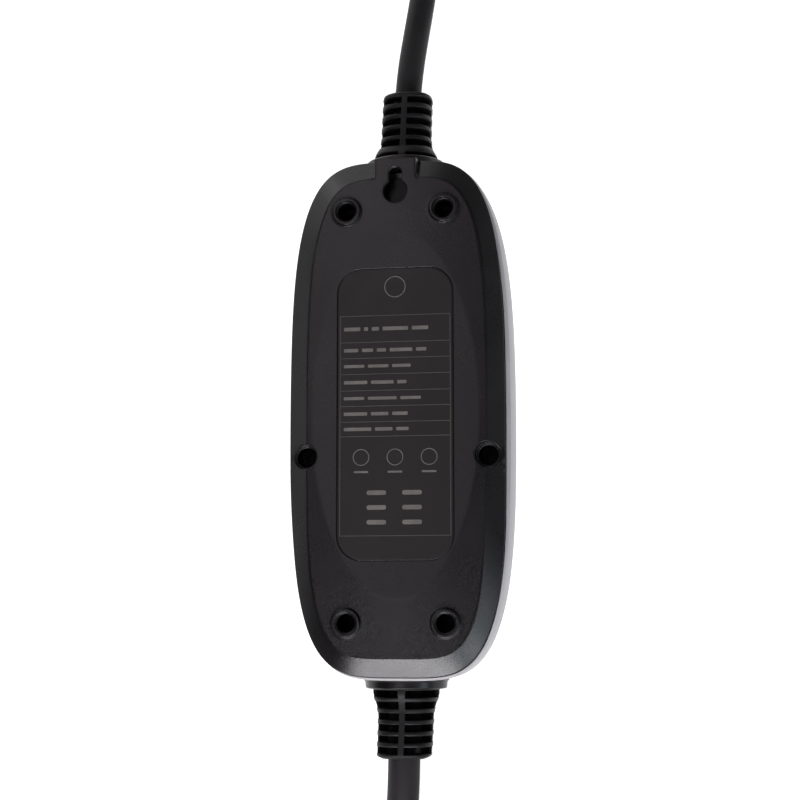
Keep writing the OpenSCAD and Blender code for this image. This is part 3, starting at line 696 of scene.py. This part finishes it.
    # Faces deep in the screw bores take the near-black second material: painted shade.
    o.data.materials.append(M["bore_painted_shade"])
    co = np.empty(len(o.data.vertices) * 3)
    o.data.vertices.foreach_get("co", co)
    co = co.reshape(-1, 3) * 1000
    deep = np.zeros(len(co), bool)
    for places, top in ((CORNER, 55.6), (SIDE, 50.4)):
        for cx, cy in places:
            deep |= (np.hypot(co[:, 0] - cx, co[:, 1] - cy) < 3.9) & (co[:, 2] < top)
    o.data.polygons.foreach_set("material_index", [1 if deep[list(f.vertices)].all() else 0 for f in o.data.polygons])
    return o


def keyhole_pocket():
    """Hollow behind the keyhole: a shelf under the entry, a deeper well under the slot."""
    g = Build()
    last = g.loop([(x, y, 53.45) for x, y in key_outline(0.12)])
    wide = []
    for x, y in key_outline(0.12):
        q = ((abs(x) / 6.0) ** 8 + (abs(y - 92.5) / 8.0) ** 8) ** (1 / 8)
        wide.append((x / q, 92.5 + (y - 92.5) / q))
    for zz in (53.45, 48.0):
        ring = g.loop([(x, y, zz) for x, y in wide])
        g.bridge(last, ring)
        last = ring
    well = [(x, max(y, 97.4)) for x, y in wide]
    ring = g.loop([(x, y, 48.0) for x, y in well])
    g.bridge(last, ring)
    deep = g.loop([(x, y, 43.6) for x, y in well])
    g.bridge(ring, deep)
    g.fan(deep, (0, 98.2, 43.6))
    # The pocket takes the duller copy of the cover plastic: painted shade.
    o = make("keyhole_pocket", g.v, g.f, "pocket_painted_shade", recalc=False)
    bm = bmesh.new()
    bm.from_mesh(o.data)
    bmesh.ops.remove_doubles(bm, verts=bm.verts, dist=2e-5)
    bmesh.ops.dissolve_degenerate(bm, edges=bm.edges, dist=1e-6)
    bmesh.ops.recalc_face_normals(bm, faces=bm.faces)
    bm.to_mesh(o.data)
    bm.free()
    # Faces of the deep well under the slot take the near-black bore material: painted shade.
    o.data.materials.append(M["bore_painted_shade"])
    for f in o.data.polygons:
        if f.center[1] > 0.0974 and f.center[2] < 0.0525:
            f.material_index = 1
    low = min(o.data.polygons, key=lambda q: q.center[2] - q.area * 1e3)
    if low.normal[2] < 0:
        o.data.flip_normals()
    o.data.set_sharp_from_angle(angle=math.radians(30))
    m = o.modifiers.new("wall", "SOLIDIFY")
    m.thickness = 0.0008
    m.offset = -1
    return o


cover = back_cover()
keyhole_pocket()


def face_up(o, axis=2):
    """Turns the faces over if the outermost ones look inwards."""
    me = o.data
    top = max(me.polygons, key=lambda p: p.center[axis] if p.area > 1e-8 else -1)
    if top.normal[axis] < 0:
        me.flip_normals()


face_up(cover)
thick = cover.modifiers.new("wall", "SOLIDIFY")
thick.thickness = 0.0016
thick.offset = -1


# ------------------------------------------------------------------ front housing
HZ = [0.0, 0.8, 3.0, 8.0, 18.0, 28.0, 37.0, 43.0, 47.0]
HA = [32.65, 35.02, 36.8, 38.48, 39.89, 40.88, 41.51, 41.15, 40.42]
HB = [95.5, 98.0, 100.2, 102.0, 103.3, 104.1, 104.6, 104.6, 104.45]
HN = [4.3, 4.2, 4.1, 4.05, 4.05, 4.05, 4.05, 4.05, 4.05]
SWELL = 0.0985


def hermite(xs, ys, x):
    xs, ys = np.array(xs, float), np.array(ys, float)
    d = np.diff(ys) / np.diff(xs)
    m = np.concatenate([[d[0]], np.where(d[:-1] * d[1:] > 0, 2 * d[:-1] * d[1:] / np.where(np.abs(d[:-1] + d[1:]) > 1e-12, d[:-1] + d[1:], 1), 0), [d[-1]]])
    i = np.clip(np.searchsorted(xs, x) - 1, 0, len(xs) - 2)
    h = xs[i + 1] - xs[i]
    s = (x - xs[i]) / h
    return ((2 * s**3 - 3 * s**2 + 1) * ys[i] + (s**3 - 2 * s**2 + s) * h * m[i]
            + (-2 * s**3 + 3 * s**2) * ys[i + 1] + (s**3 - s**2) * h * m[i + 1])


def front_housing():
    phis = even_phi(45.0, 104.6, 4.2, 480)
    g = Build()
    rings = []
    zs = [0.0, 0.1, 0.3, 0.6, 1.0, 1.5, 2.2, 3, 4, 5.2, 6.5, 8, 10, 12, 15, 18, 21, 24, 27, 30, 33, 35, 37, 39, 41, 43, 44.5, 45.6, 46.3, 46.7]
    for zz in zs:
        e = float(np.interp(zz, HZ, HN))
        x, y = polar(hermite(HZ, HA, zz), hermite(HZ, HB, zz), e, phis, e + 0.15, SWELL, 0.5)
        rings.append(g.loop(list(zip(x, y, np.full(len(x), zz)))))
    # lip: its inner edge follows the cover's rim
    ox, oy = polar(40.42, 104.45, 4.05, phis, 4.2, SWELL, 0.5)
    wx, wy = polar(40.75 + 0.18, 103.7 + 0.2, 4.18, phis, 4.2, BOW, -0.42, 0.45)
    wx = wx + lean(1.0, wy - 0.45)
    ro, rw = np.hypot(ox, oy), np.hypot(wx, wy)
    keep = np.minimum(1.0, (ro - 0.25) / rw)
    wx, wy = wx * keep, wy * keep
    for t, zz in ((0.12, 46.88), (0.28, 47.08), (0.48, 47.29), (0.68, 47.46), (0.86, 47.56), (0.95, 47.55), (0.99, 47.44), (1.0, 47.15), (1.0, 43.6), (None, 43.4)):
        x, y = (wx * 0.955, wy * 0.98) if t is None else (ox + (wx - ox) * t, oy + (wy - oy) * t)
        rings.append(g.loop(list(zip(x, y, np.full(len(x), zz)))))
    for p, q in zip(rings, rings[1:]):
        g.bridge(p, q)
    # front face with the recess of the status panel
    base = rings[0]
    rec = rect_outline(52, 110, 8, 20, 1.6)
    recess_hi = rect_outline(51.9, 109.9, 7.95, 20, 1.6)
    pts = [g.v[i][:2] for i in base] + rec
    nb = len(base)
    edges = [(i, (i + 1) % nb) for i in range(nb)] + [(nb + i, nb + (i + 1) % len(rec)) for i in range(len(rec))]
    res = delaunay_2d_cdt([Vector((float(p[0]), float(p[1]))) for p in pts], edges, [], 0, 1e-5)
    xy = np.array([(v.x, v.y) for v in res[0]])
    back = {s: i for i, src in enumerate(res[3]) for s in src}
    tri = np.array([tuple(f) for f in res[2]])
    cen = xy[tri].mean(1)
    ok = box_dist(cen[:, 0], cen[:, 1], 52, 110, 8, 20) > -0.002
    ids = {}
    for i in range(nb):
        ids[back[i]] = base[i]
    lip = g.loop([(x, y, 0.0) for x, y in rec])
    for i in range(len(rec)):
        ids[back[nb + i]] = lip[i]
    for f in tri[ok]:
        g.f.append((ids[f[0]], ids[f[2]], ids[f[1]]))
    deep = g.loop([(x, y, 0.8) for x, y in recess_hi])
    g.bridge(lip, deep)
    g.fan(deep, (0, 20, 0.8))
    o = make("front_housing_shell", g.v, g.f, "housing_grey", ["front_housing"], sharp=50)
    return o


housing = front_housing()


def seat_lathe(sign, name):
    prof = rounded([(11.2, 98.0), (16.6, 98.0), (16.6, 105.2), (11.2, 105.3)], 0.3, 4)
    b = lathe(prof, 96, lambda x, y, h: (x, sign * h, 28 + y))
    o = make(name, b.v, b.f, "housing_grey", sharp=40)
    return o


seat_lathe(1, "mains_seat")
seat_lathe(-1, "vehicle_seat")


# ------------------------------------------------------------------ collars and boots
def lean(y):
    """Sideways lean of the boots and leads as they lie: none, always zero."""
    return 0.0


def collar(sign, bore, name, node, end, mat):
    prof = rounded([(bore, 90.0), (10.95, 90.0), (10.95, 105.4, 0), (17.0, 105.35, 0.1), (17.0, 103.6, 0.1), (17.5, 103.6, 0.2), (17.45, 104.7, 0.3), (16.7, 105.2, 0.6), (16.55, end - 0.45, 0.5), (16.1, end, 0.4), (13.9, end), (bore, end)], 0.3, 6)
    b = lathe(prof, 112, lambda x, y, h: (x, sign * h, 28 + y))
    return make(name, b.v, b.f, mat, [node], sharp=50)


# The mains collar takes the lighter copy of the cover plastic: painted light, while the vehicle collar keeps the plain
# cover plastic.
collar(1, 5.3, "mains_collar", "mains_gland", 108.7, "collar_painted_light")
collar(-1, 6.5, "vehicle_collar", "vehicle_gland", 108.1, "cover_black")


def boot(h, base_r, body_r, bore, first, pitch, place, name, node, foot, foot_half, mat):
    """Ribbed strain relief: rings and four long ribs, with slots down to an inner sleeve."""
    pr = np.array(rounded([(base_r, 0.0), (base_r, 2.4, 1.2), (base_r - 0.6, 4.2, 3.0), (body_r + 0.9, 6.6, 3.0), (body_r + 0.2, 9.2, 4.0), (body_r, 12.5, 4.0),
                           (body_r - 0.15, h - 2.4), (body_r - 0.35, h - 0.9, 1.2), (body_r - 2.4, h + 0.0, 1.2)], 1.0, 8))
    # radius as a function of the height along the boot
    hs, rs = pr[:, 1], pr[:, 0]
    order = np.argsort(hs, kind="stable")
    hs, rs = hs[order], rs[order]
    sleeve = bore + 0.5
    soft = 0.34
    lines = set(np.round(np.linspace(0, h, 46), 3))
    edge = [0.0, 0.12, 0.3, 0.5, 0.7, 0.88, 1.0]
    cs = [(foot, foot_half)] + [(first + pitch * k, 1.3) for k in range(1, 6)]
    lines = {v for v in lines if all(abs(abs(v - c) - half) > 0.5 for c, half in cs)}
    for c, half in cs:
        for s in (-1, 1):
            for e in edge:
                lines.add(round(c + s * (half - soft / 2 + soft * e), 4))
    for e in (0.3, 0.55, 0.75, 0.9, 0.97):
        lines.add(round(h - 2.2 + 2.2 * e, 4))
    sv = sorted(v for v in lines if 0 <= v <= h)
    ang = set(np.round(np.arange(0, 360, 4.0), 3))
    rib = 1.2
    mid = body_r
    for q in range(4):
        for s in (-1, 1):
            for e in edge:
                w = rib + soft * e
                ang.add(round((90 * q + s * math.degrees(w / mid)) % 360, 4))
    av = np.radians(sorted(ang))
    b = Build()
    rings = []
    da = np.abs((np.degrees(av) + 45) % 90 - 45)
    across = smooth((np.radians(da) * mid - rib) / soft)
    square = (np.abs(np.cos(av)) ** 2.7 + np.abs(np.sin(av) / 0.94) ** 2.7) ** (-1 / 2.7)
    deep = []
    for s in sv:
        r0 = float(np.interp(s, hs, rs))
        c, half = min(cs, key=lambda v: abs(v[0] - s) - v[1])
        along = float(smooth((half + soft / 2 - abs(s - c)) / soft))
        side = smooth((np.abs(np.cos(av)) - 0.9) / 0.05) * (1 - across)
        grow = 1 + (square - 1) * float(smooth(s / 6.0))
        r = r0 * grow - (r0 * grow - sleeve) * along * across - 0.1 * along * side
        deep.extend(list((r0 * grow - r) > 0.5))
        rings.append(b.loop([place(rr * math.cos(t), rr * math.sin(t), s) for rr, t in zip(r, av)]))
    for p, q in zip(rings, rings[1:]):
        b.bridge(p, q)
    # end face with a rounded way in for the lead, and the bore
    last = rings[-1]
    for r, s in ((bore + 1.2, h), (bore + 0.5, h - 0.08), (bore + 0.15, h - 0.4), (bore + 0.05, h - 1.2), (bore + 0.05, 0.0)):
        ring = b.loop([place(r * math.cos(t), r * math.sin(t), s) for t in av])
        b.bridge(last, ring)
        last = ring
    b.bridge(last, rings[0])
    o = make(name, b.v, b.f, mat, [node], recalc=False)
    # Faces sunk more than 0.5 mm into the slots take a near-black second material: painted shade.
    o.data.materials.append(M["boot_slot_painted_shade"])
    nd = len(deep)
    o.data.polygons.foreach_set("material_index", [1 if all(v < nd and deep[v] for v in f) else 0 for f in b.f])
    bm = bmesh.new()
    bm.from_mesh(o.data)
    bmesh.ops.recalc_face_normals(bm, faces=bm.faces)
    bm.to_mesh(o.data)
    bm.free()
    o.data.polygons.foreach_set("use_smooth", [True] * len(o.data.polygons))
    return o


def mains_place(x, y, s):
    return (x + 0.2 + 0.9 * (s / 30.2) ** 2, 107.8 + s, 28 + y)


def vehicle_place(x, y, s):
    return (-x - 0.9 * (s / 27.7) ** 2, -107.8 - s, 28 + y)


mains_boot = boot(30.4, 13.4, 10.45, 5.3, 3.2, 4.64, mains_place, "mains_boot_ribbed", "mains_boot", 2.05, 0.9, "boot_rubber")
vehicle_boot = boot(27.9, 13.5, 11.2, 6.5, 2.2, 4.47, vehicle_place, "vehicle_boot_ribbed", "vehicle_boot", 2.2, 1.3, "boot_rubber_dark")

# ------------------------------------------------------------------ leads
MAINS = [(0.6, 132, 28), (0.9, 138, 28), (2.0, 150, 27.6), (4.6, 169, 25), (6.8, 187, 21.2), (7.7, 203, 16.8), (7.7, 222, 10.5),
         (7.2, 242, 6.3), (7, 262, 5.3), (7, 278, 5.3), (12.9, 300, 5.3), (29, 316.1, 5.3), (51, 322, 5.3), (73, 316.1, 5.3),
         (89.1, 300, 5.3), (95, 278, 5.3), (95, 260, 5.3), (95, 242, 5.3), (89.1, 220, 5.3), (73, 203.9, 5.3), (51, 198, 5.3),
         (36, 198, 5.3), (21, 198, 5.3), (3.8, 201.4, 6), (-10.8, 211.2, 9), (-20.6, 225.8, 14.5), (-24, 243, 19)]
path, mains_len = evenly(catmull(MAINS, (0.1, 1, 0), (0, 1, 0)), 2.6)
for _ in range(12):
    path[1:-1] = 0.25 * path[:-2] + 0.5 * path[1:-1] + 0.25 * path[2:]
path[:, 2] = np.maximum(path[:, 2], 5.6)
path, mains_len = evenly(path, 2.6)
b = tube(path, 5.5, 26)
mains_lead = make("mains_lead", b.v, b.f, "cord_jacket", ["mains_cord"])

HX, HNEAR, HFAR = 38.0, -232.0, -356.0
LEAD = [(-0.7, -130, 28), (-0.9, -135.5, 28), (-1.4, -149, 27), (-3.7, -166, 22.5), (-8, -182, 16), (-12, -199, 10.5), (-14, -216, 7.3), (-14, -232, 6.5)]
TAIL = [(77, -232, 32.5), (72, -212, 32.5), (57, -198, 32.5), (38, -193, 35), (19, -198, 40), (4, -212, 44), (-1, -232, 45.6), (-1, -260, 45.6),
        (-1, -290, 45.6), (-1, -320, 45.6), (-1, -356, 45.6), (4, -376, 45.8), (19, -390, 46.2), (38, -395, 46.8), (57, -390, 47.8),
        (72, -376, 49.4), (77, -356, 51.5)]
TILT = math.radians(7)


def hank_path():
    pts = list(catmull(LEAD, (-0.05, -1, 0), (0, -1, 0)))
    turns = [(52, 6.5), (39, 6.5), (39, 19.5), (52, 19.5), (52, 32.5), (39, 32.5)]
    for i, (r, z) in enumerate(turns):
        for y in np.arange(HNEAR, HFAR, -3.0)[1:]:
            pts.append(np.array([HX - r, y, z]))
        for t in np.linspace(math.pi, 2 * math.pi, 40):
            pts.append(np.array([HX + r * math.cos(t), HFAR + r * math.sin(t), z]))
        for y in np.arange(HFAR, HNEAR, 3.0)[1:]:
            pts.append(np.array([HX + r, y, z]))
        if i + 1 < len(turns):
            r1, z1 = turns[i + 1]
            lo = 0.40 - 0.07 * i
            for u in np.linspace(0, 1, 44):
                s = float(smooth((u - lo) / (0.98 - lo)))
                rr, zz = r + (r1 - r) * s, z + (z1 - z) * s
                pts.append(np.array([HX + rr * math.cos(math.pi * u), HNEAR + rr * math.sin(math.pi * u), zz]))
    pts += list(catmull(TAIL, (0, 1, 0), (0, math.cos(TILT), math.sin(TILT))))
    p = np.array(pts)
    keep = np.concatenate([[True], np.linalg.norm(np.diff(p, axis=0), axis=1) > 0.3])
    return p[keep]


path, vehicle_len = evenly(hank_path(), 3.2)
for _ in range(3):
    path[1:-1] = 0.25 * path[:-2] + 0.5 * path[1:-1] + 0.25 * path[2:]
b = tube(path, 6.5, 22)
vehicle_lead = make("vehicle_lead", b.v, b.f, "cord_jacket", ["vehicle_cord_lead", "vehicle_cord_hank", "vehicle_cord_tail"])

# ------------------------------------------------------------------ plug
def plug():
    prof = np.array(rounded([(5.7, 0.0), (7.2, 0.0), (7.6, 0.6, 0.5), (9.5, 24.5, 2.0), (11.8, 26.8, 2.0), (16.6, 35.2, 4.0), (18.8, 39.5, 3.0), (19.0, 44.0), (19.0, 63.8), (18.0, 65.0)], 0.6, 8))
    hs, rs = prof[:, 1], prof[:, 0]
    cs = [3.4, 7.6, 11.8, 16.0, 20.2]
    lines = set(np.round(np.concatenate([np.arange(0, 26, 0.45), np.arange(26, 46, 0.7), np.arange(46, 63, 1.0), np.arange(63, 65.01, 0.25)]), 3))
    sv = sorted(lines)
    th = np.linspace(0, 2 * math.pi, 240, endpoint=False)
    g = Build()
    rings = []
    off = np.abs((np.degrees(th) + 90) % 180 - 90)          # degrees from the two finger sides
    for sl in sv:
        r = float(np.interp(sl, hs, rs)) + np.zeros(len(th))
        c = min(cs, key=lambda v: abs(v - sl))
        r = r - 1.2 * float(smooth((1.15 - abs(sl - c)) / 0.5)) * (0.25 + 0.75 * smooth((np.abs(np.sin(2 * th)) - 0.12) / 0.2))
        grip = float(smooth((sl - 43.5) / 2.5) * smooth((62.0 - sl) / 2.5))
        wave = 0.5 + 0.5 * np.cos(np.radians(off) * 19.0 / 2.9 * 2 * math.pi)
        r = r - grip * smooth((38 - off) / 6) * 0.55 * wave
        x, z = r * np.cos(th), r * np.sin(th)
        m = smooth((3.2 - np.abs(x)) / 0.45) * float(smooth((sl - 43.4) / 0.8))
        z = np.where(np.abs(z) > 16.95, np.sign(z) * (np.abs(z) * (1 - m) + 16.95 * m), z)
        rings.append(g.loop([(-24 + a, 243 + sl, 19 + c2) for a, c2 in zip(x, z)]))
    for p, q in zip(rings, rings[1:]):
        g.bridge(p, q)
    last = rings[-1]
    for f, sl in ((0.94, 65.15), (0.90, 65.1), (0.885, 64.5), (0.86, 64.35), (0.4, 64.3)):
        ring = g.loop([(-24 + f * 18.0 * math.cos(t), 243 + sl, 19 + (f * 16.6 if f < 0.93 else 16.7) * math.sin(t)) for t in th])
        g.bridge(last, ring)
        last = ring
    g.fan(last, (-24, 243 + 64.3, 19))
    g.fan(rings[0], (-24, 243, 19))
    return make("plug_moulding", g.v, g.f, "plug_black", ["plug_body"], sharp=38)


plug_body = plug()


# ------------------------------------------------------------------ vehicle connector
def in_hand(lx, ly, lz):
    c, d = math.cos(TILT), math.sin(TILT)
    return (77 + lx, -356 + d * ly + c * lz, 51.5 - c * ly + d * lz)


def connector_shell():
    ss = [30, 32, 45, 60, 85, 110, 128, 142, 150, 158]
    rr = [13.4, 15.0, 17.5, 19.4, 22.0, 23.0, 26.0, 30.0, 31.0, 31.0]
    sv = [30.0, 30.15, 30.5, 31.0, 31.6, 32.4] + list(np.arange(33.4, 62, 1.0)) + list(np.arange(62, 122, 0.55)) + list(np.arange(122, 156, 0.9)) + [156.2, 156.8, 157.3, 157.65, 157.87, 157.97]
    edge = [0.0, 0.7, 1.0, 1.25, 1.6, 2.4, 3.4]
    th = set(np.round(np.arange(0, 360, 2.0), 3))
    th = {t for t in th if min(abs(t - 90), abs(t - 270)) > 2.6}
    for c in (90, 270):
        for e in edge:
            th |= {round(c + e * 0.75, 3), round(c - e * 0.75, 3)}
    av = np.radians(sorted(th))
    deg = np.degrees(av)
    seam = np.minimum(np.abs(deg - 90), np.abs(deg - 270))
    flank = np.abs((deg + 90) % 180 - 90)                   # degrees from the two sides
    g = Build()
    rings = []
    for sl in sv:
        base = float(hermite(ss, rr, np.array(sl)))
        if sl < 32.5:
            base = float(np.interp(sl, [30.0, 30.15, 30.5, 31.0, 31.6, 32.4], [13.2, 13.9, 14.35, 14.7, 14.95, 15.2]))
        if sl > 156:
            base = 31 - (1 - math.sqrt(max(0.0, 1 - ((sl - 156) / 2.0) ** 2))) * 1.8
        # soft grip with cross ridges on both sides
        pad = float(smooth((sl - 66) / 4) * smooth((118 - sl) / 4))
        ridge = 0.5 + 0.5 * math.cos(2 * math.pi * (sl - 66) / 4.4)
        r = base + pad * smooth((52 - flank) / 5) * (0.75 * ridge - 0.15)
        gap = 0.42 * (1 - smooth(seam * math.radians(1) * base / 0.32 - 0.15))
        r = r - gap
        rings.append(g.loop([in_hand(q * math.cos(t), q * math.sin(t), sl) for q, t in zip(r, av)]))
    for p, q in zip(rings, rings[1:]):
        g.bridge(p, q)
    last = rings[-1]
    for r, sl in ((28.6, 158.0), (27.2, 158.0), (26.85, 157.85), (26.75, 157.4), (26.75, 150.0), (24.5, 149.5), (21.0, 120.0), (19.0, 90.0), (15.5, 50.0), (13.15, 36.0), (13.15, 30.4)):
        ring = g.loop([in_hand(r * math.cos(t), r * math.sin(t), sl) for t in av])
        g.bridge(last, ring)
        last = ring
    g.bridge(last, rings[0])
    return make("connector_shell", g.v, g.f, "connector_black", ["connector_shell_left", "connector_shell_right"], sharp=42)


conn_shell = connector_shell()


# ------------------------------------------------------------------ straps that hold the hank
def strap(discs, y0, width, name):
    """Band drawn tight round the given circles (x, z, radius) and kept off the floor."""
    th = np.linspace(0, 2 * math.pi, 144, endpoint=False)
    d = np.stack([np.cos(th), np.sin(th)], 1)
    c = np.array([q[:2] for q in discs])
    rad = np.array([q[2] for q in discs])
    pick = np.argmax(d @ c.T + rad[None, :], axis=1)
    base = c[pick] + d * rad[pick][:, None]
    g = Build()
    rings = []
    sect = [(0.25, 0.0), (0.9, 0.0), (1.35, 0.25), (1.55, 0.8), (1.6, 2.0), (1.6, width - 2.0), (1.55, width - 0.8), (1.35, width - 0.25), (0.9, width), (0.25, width), (0.1, width - 1), (0.1, 1)]
    for off, y in sect:
        q = base + d * off
        rings.append(g.loop([(x, y0 + y, max(z, 0.06 + 0.02 * off)) for x, z in q]))
    for p, q in zip(rings, rings[1:] + rings[:1]):
        g.bridge(p, q)
    # loose end lying on the outside of the band
    i0, i1 = 14, 52
    lay = []
    for off, y in ((1.5, 1.0), (2.5, 1.0), (2.7, 1.6), (2.7, width - 1.6), (2.5, width - 1.0), (1.5, width - 1.0)):
        lay.append(g.loop([(base[i, 0] + d[i, 0] * off, y0 + y, base[i, 1] + d[i, 1] * off) for i in range(i0, i1)]))
    n = i1 - i0
    for p, q in zip(lay, lay[1:] + lay[:1]):
        for i in range(n - 1):
            g.f.append((p[i], p[i + 1], q[i + 1], q[i]))
    g.cap([l[0] for l in lay])
    g.cap([l[-1] for l in lay][::-1])
    return make(name, g.v, g.f, "strap_weave", sharp=40)


R = 6.5
left_strap = strap([(-14, 6.5, R), (-14, 19.5, R), (-14, 32.5, R), (-1, 6.5, R), (-1, 32.5, R), (-1, 45.6, R)], -302, 16, "left_strap")
right_strap = strap([(90, 6.5, R), (90, 32.5, R), (77, 6.5, R), (77, 58.2, 20.0)], -310, 16, "right_strap")

# ------------------------------------------------------------------ label
def label():
    g = Build()
    prof = [(-0.9, 55.95), (-0.25, 55.95), (-0.08, 55.92), (0.0, 55.82), (0.0, 55.62)]
    loops = []
    for d, z in prof:
        loops.append(g.loop([(x, y, z) for x, y in rect_outline(46.42 + 2 * d, 116.32 + 2 * d, 10 + d, 0.4)]))
    for p, q in zip(loops, loops[1:]):
        g.bridge(p, q)
    g.cap(loops[0])
    g.cap(loops[-1][::-1])
    return make("rating_label_film", g.v, g.f, "label_film", ["rating_label"], sharp=50)


label_film = label()
INK_Z = 55.965


def ink(name, shapes, mat):
    """Printed shapes: each a flat outline, standing a hair above the film."""
    g = Build()
    for outline in shapes:
        lo = g.loop([(x, y, 55.94) for x, y in outline])
        hi = g.loop([(x, y, INK_Z) for x, y in outline])
        g.bridge(lo, hi)
        g.cap(hi)
        g.cap(lo[::-1])
    return make(name, g.v, g.f, mat, sharp=30)


def bar(x0, x1, y0, y1, r=0.0):
    if r <= 0:
        return [(x0, y0), (x1, y0), (x1, y1), (x0, y1)]
    r = min(r, (x1 - x0) / 2 * 0.999, (y1 - y0) / 2 * 0.999)
    out = []
    for cx, cy, t0 in ((x1 - r, y1 - r, 0), (x0 + r, y1 - r, 90), (x0 + r, y0 + r, 180), (x1 - r, y0 + r, 270)):
        for i in range(5):
            t = math.radians(t0 + 22.5 * i)
            out.append((cx + r * math.cos(t), cy + r * math.sin(t)))
    return out


def print_label():
    rules, words = [], []
    w = 0.14
    xs = 22.1
    ys = [39.5, 28.8, 22.4, 16.0, 9.4, 3.2, -3.1, -8.9, -48.1]
    for y in ys:
        rules.append(bar(-xs, xs, y - w, y + w))
    for s in (-1, 1):
        rules.append(bar(s * xs - w, s * xs + w, -48.1, 39.5))
    rows = [(34.2, 1.5, [0.16, 0.04, 0.07, 0.25, 0.16]), (25.6, 1.4, [0.14, 0.11, 0.09, 0.22, 0.1]), (19.2, 1.25, [0.2, 0.2, 0.18]),
            (12.7, 1.35, [0.23, 0.22, 0.09]), (6.3, 1.2, [0.2, 0.28, 0.2]), (0.1, 1.35, [0.23, 0.17, 0.15]), (-6.0, 1.35, [0.27, 0.17, 0.12])]
    for y, h, parts in rows:
        x = -20.6
        for p in parts:
            x1 = x + p * 41.2
            words.append(bar(x, x1, y - h / 2, y + h / 2, 0.35))
            x = x1 + 1.5
    icons = []
    for x in (-13.6, 0.0, 13.6):
        icons.append(("ring", x, -17.2, 3.3, 0.32))
        words.append(bar(x - 2.9, x + 2.9, -23.4, -22.6, 0.3))
    icons.append(("ring", 0.0, 51.0, 4.3, 0.34))
    for x in (-7.4, 6.8):
        for y in (-31.2, -37.0, -42.8):
            words.append(bar(x - 3.9, x + 3.9, y - 0.9, y + 0.9, 0.8))
    return rules, words, icons


def rings_of_ink(name, icons, mat):
    g = Build()
    for _, cx, cy, r, w in icons:
        n = 64
        loops = [g.loop([(x, y, z) for x, y in circle(cx, cy, rr, n)]) for rr, z in ((r, 55.94), (r, INK_Z), (r - w, INK_Z), (r - w, 55.94))]
        for p, q in zip(loops, loops[1:] + loops[:1]):
            g.bridge(p, q)
    return make(name, g.v, g.f, mat, sharp=30)


rules, words, icons = print_label()
rings_of_ink("label_rings", icons, "label_ink")
ink("label_rules", rules, "label_ink_dim")
ink("label_lines", words, "label_ink")

# ------------------------------------------------------------------ stage
me = bpy.data.meshes.new("floor")
me.from_pydata([(-25, -25, 0), (25, -25, 0), (25, 25, 0), (-25, 25, 0)], [], [(0, 1, 2, 3)])
floor = bpy.data.objects.new("floor", me)
scene.collection.objects.link(floor)
fm, ft, fp = nodes_of("floor_white")
fp.inputs["Base Color"].default_value = (0.5, 0.5, 0.5, 1)
fp.inputs["Roughness"].default_value = 0.9
fp.inputs["Specular IOR Level"].default_value = 0.1
fp.inputs["Emission Color"].default_value = (1, 1, 1, 1)
fp.inputs["Emission Strength"].default_value = 0.93
me.materials.append(fm)

world = bpy.data.worlds.new("studio")
scene.world = world
world.use_nodes = True
wt = world.node_tree
wco = wt.nodes.new("ShaderNodeTexCoord")
wz = wt.nodes.new("ShaderNodeSeparateXYZ")
wt.links.new(wco.outputs["Generated"], wz.inputs[0])
wr = wt.nodes.new("ShaderNodeValToRGB")
stops = [(0.0, 1.0), (0.04, 0.6), (0.09, 0.1), (0.3, 0.04), (1.0, 0.06)]
while len(wr.color_ramp.elements) < len(stops):
    wr.color_ramp.elements.new(0.5)
for el, (pos, v) in zip(wr.color_ramp.elements, stops):
    el.position = pos
    el.color = (v * 0.95, v * 0.98, v, 1)
wt.links.new(wz.outputs[2], wr.inputs[0])
wt.links.new(wr.outputs[0], wt.nodes["Background"].inputs[0])
wt.nodes["Background"].inputs[1].default_value = 1.0


def area(name, loc, target, size, power, colour=(1, 1, 1), size_y=None):
    d = bpy.data.lights.new(name, "AREA")
    d.energy = power
    d.color = colour
    d.shape = "RECTANGLE" if size_y else "SQUARE"
    d.size = size
    if size_y:
        d.size_y = size_y
    o = bpy.data.objects.new(name, d)
    o.location = loc
    o.rotation_euler = (Vector(target) - Vector(loc)).to_track_quat("-Z", "Y").to_euler()
    o.visible_camera = False
    scene.collection.objects.link(o)
    return o


area("top", (-0.30, 0.33, 1.40), (-0.30, 0.32, 0), 0.40, 2.2, (1.0, 0.91, 0.97), 0.86)
area("top_left", (-0.40, 0.62, 1.38), (-0.40, 0.61, 0), 0.28, 0.5, (1.0, 0.94, 0.98))
area("top_low", (-0.235, -0.40, 1.38), (-0.235, -0.41, 0), 0.26, 2.1, (1.0, 0.94, 0.99))
area("low_front", (-0.065, -1.33, 0.71), (0.0, -0.095, 0.052), 0.95, 29, (0.99, 0.97, 1.0), 0.44)
area("front_right", (0.746, -1.05, 0.75), (0.0, -0.095, 0.052), 0.88, 11.5, (0.88, 0.95, 1.0), 0.42)
area("side_right", (1.17, -0.52, 0.69), (0.0, -0.095, 0.052), 0.58, 3.5, (0.84, 0.94, 1.0), 0.44)
area("back", (-0.5, 1.1, 0.22), (0, 0.05, 0.05), 1.0, 1.5, (1.0, 0.98, 1.0), 0.25)
area("left", (-1.1, 0.95, 0.6), (0, 0, 0.05), 0.8, 3.9, (1.0, 0.97, 1.0))
area("right", (0.9, 0.25, 1.45), (0, 0, 0), 0.7, 1.0, (0.86, 0.95, 1.0))

cam = bpy.data.cameras.new("camera")
cam.lens = 72
cam.sensor_width = 36
cam.clip_start = 0.01
co = bpy.data.objects.new("camera", cam)
co.location = (0.1045, -0.0767, 0.6744)
co.rotation_euler = (math.radians(7.453), math.radians(9.41), math.radians(-0.023))
scene.collection.objects.link(co)
scene.camera = co
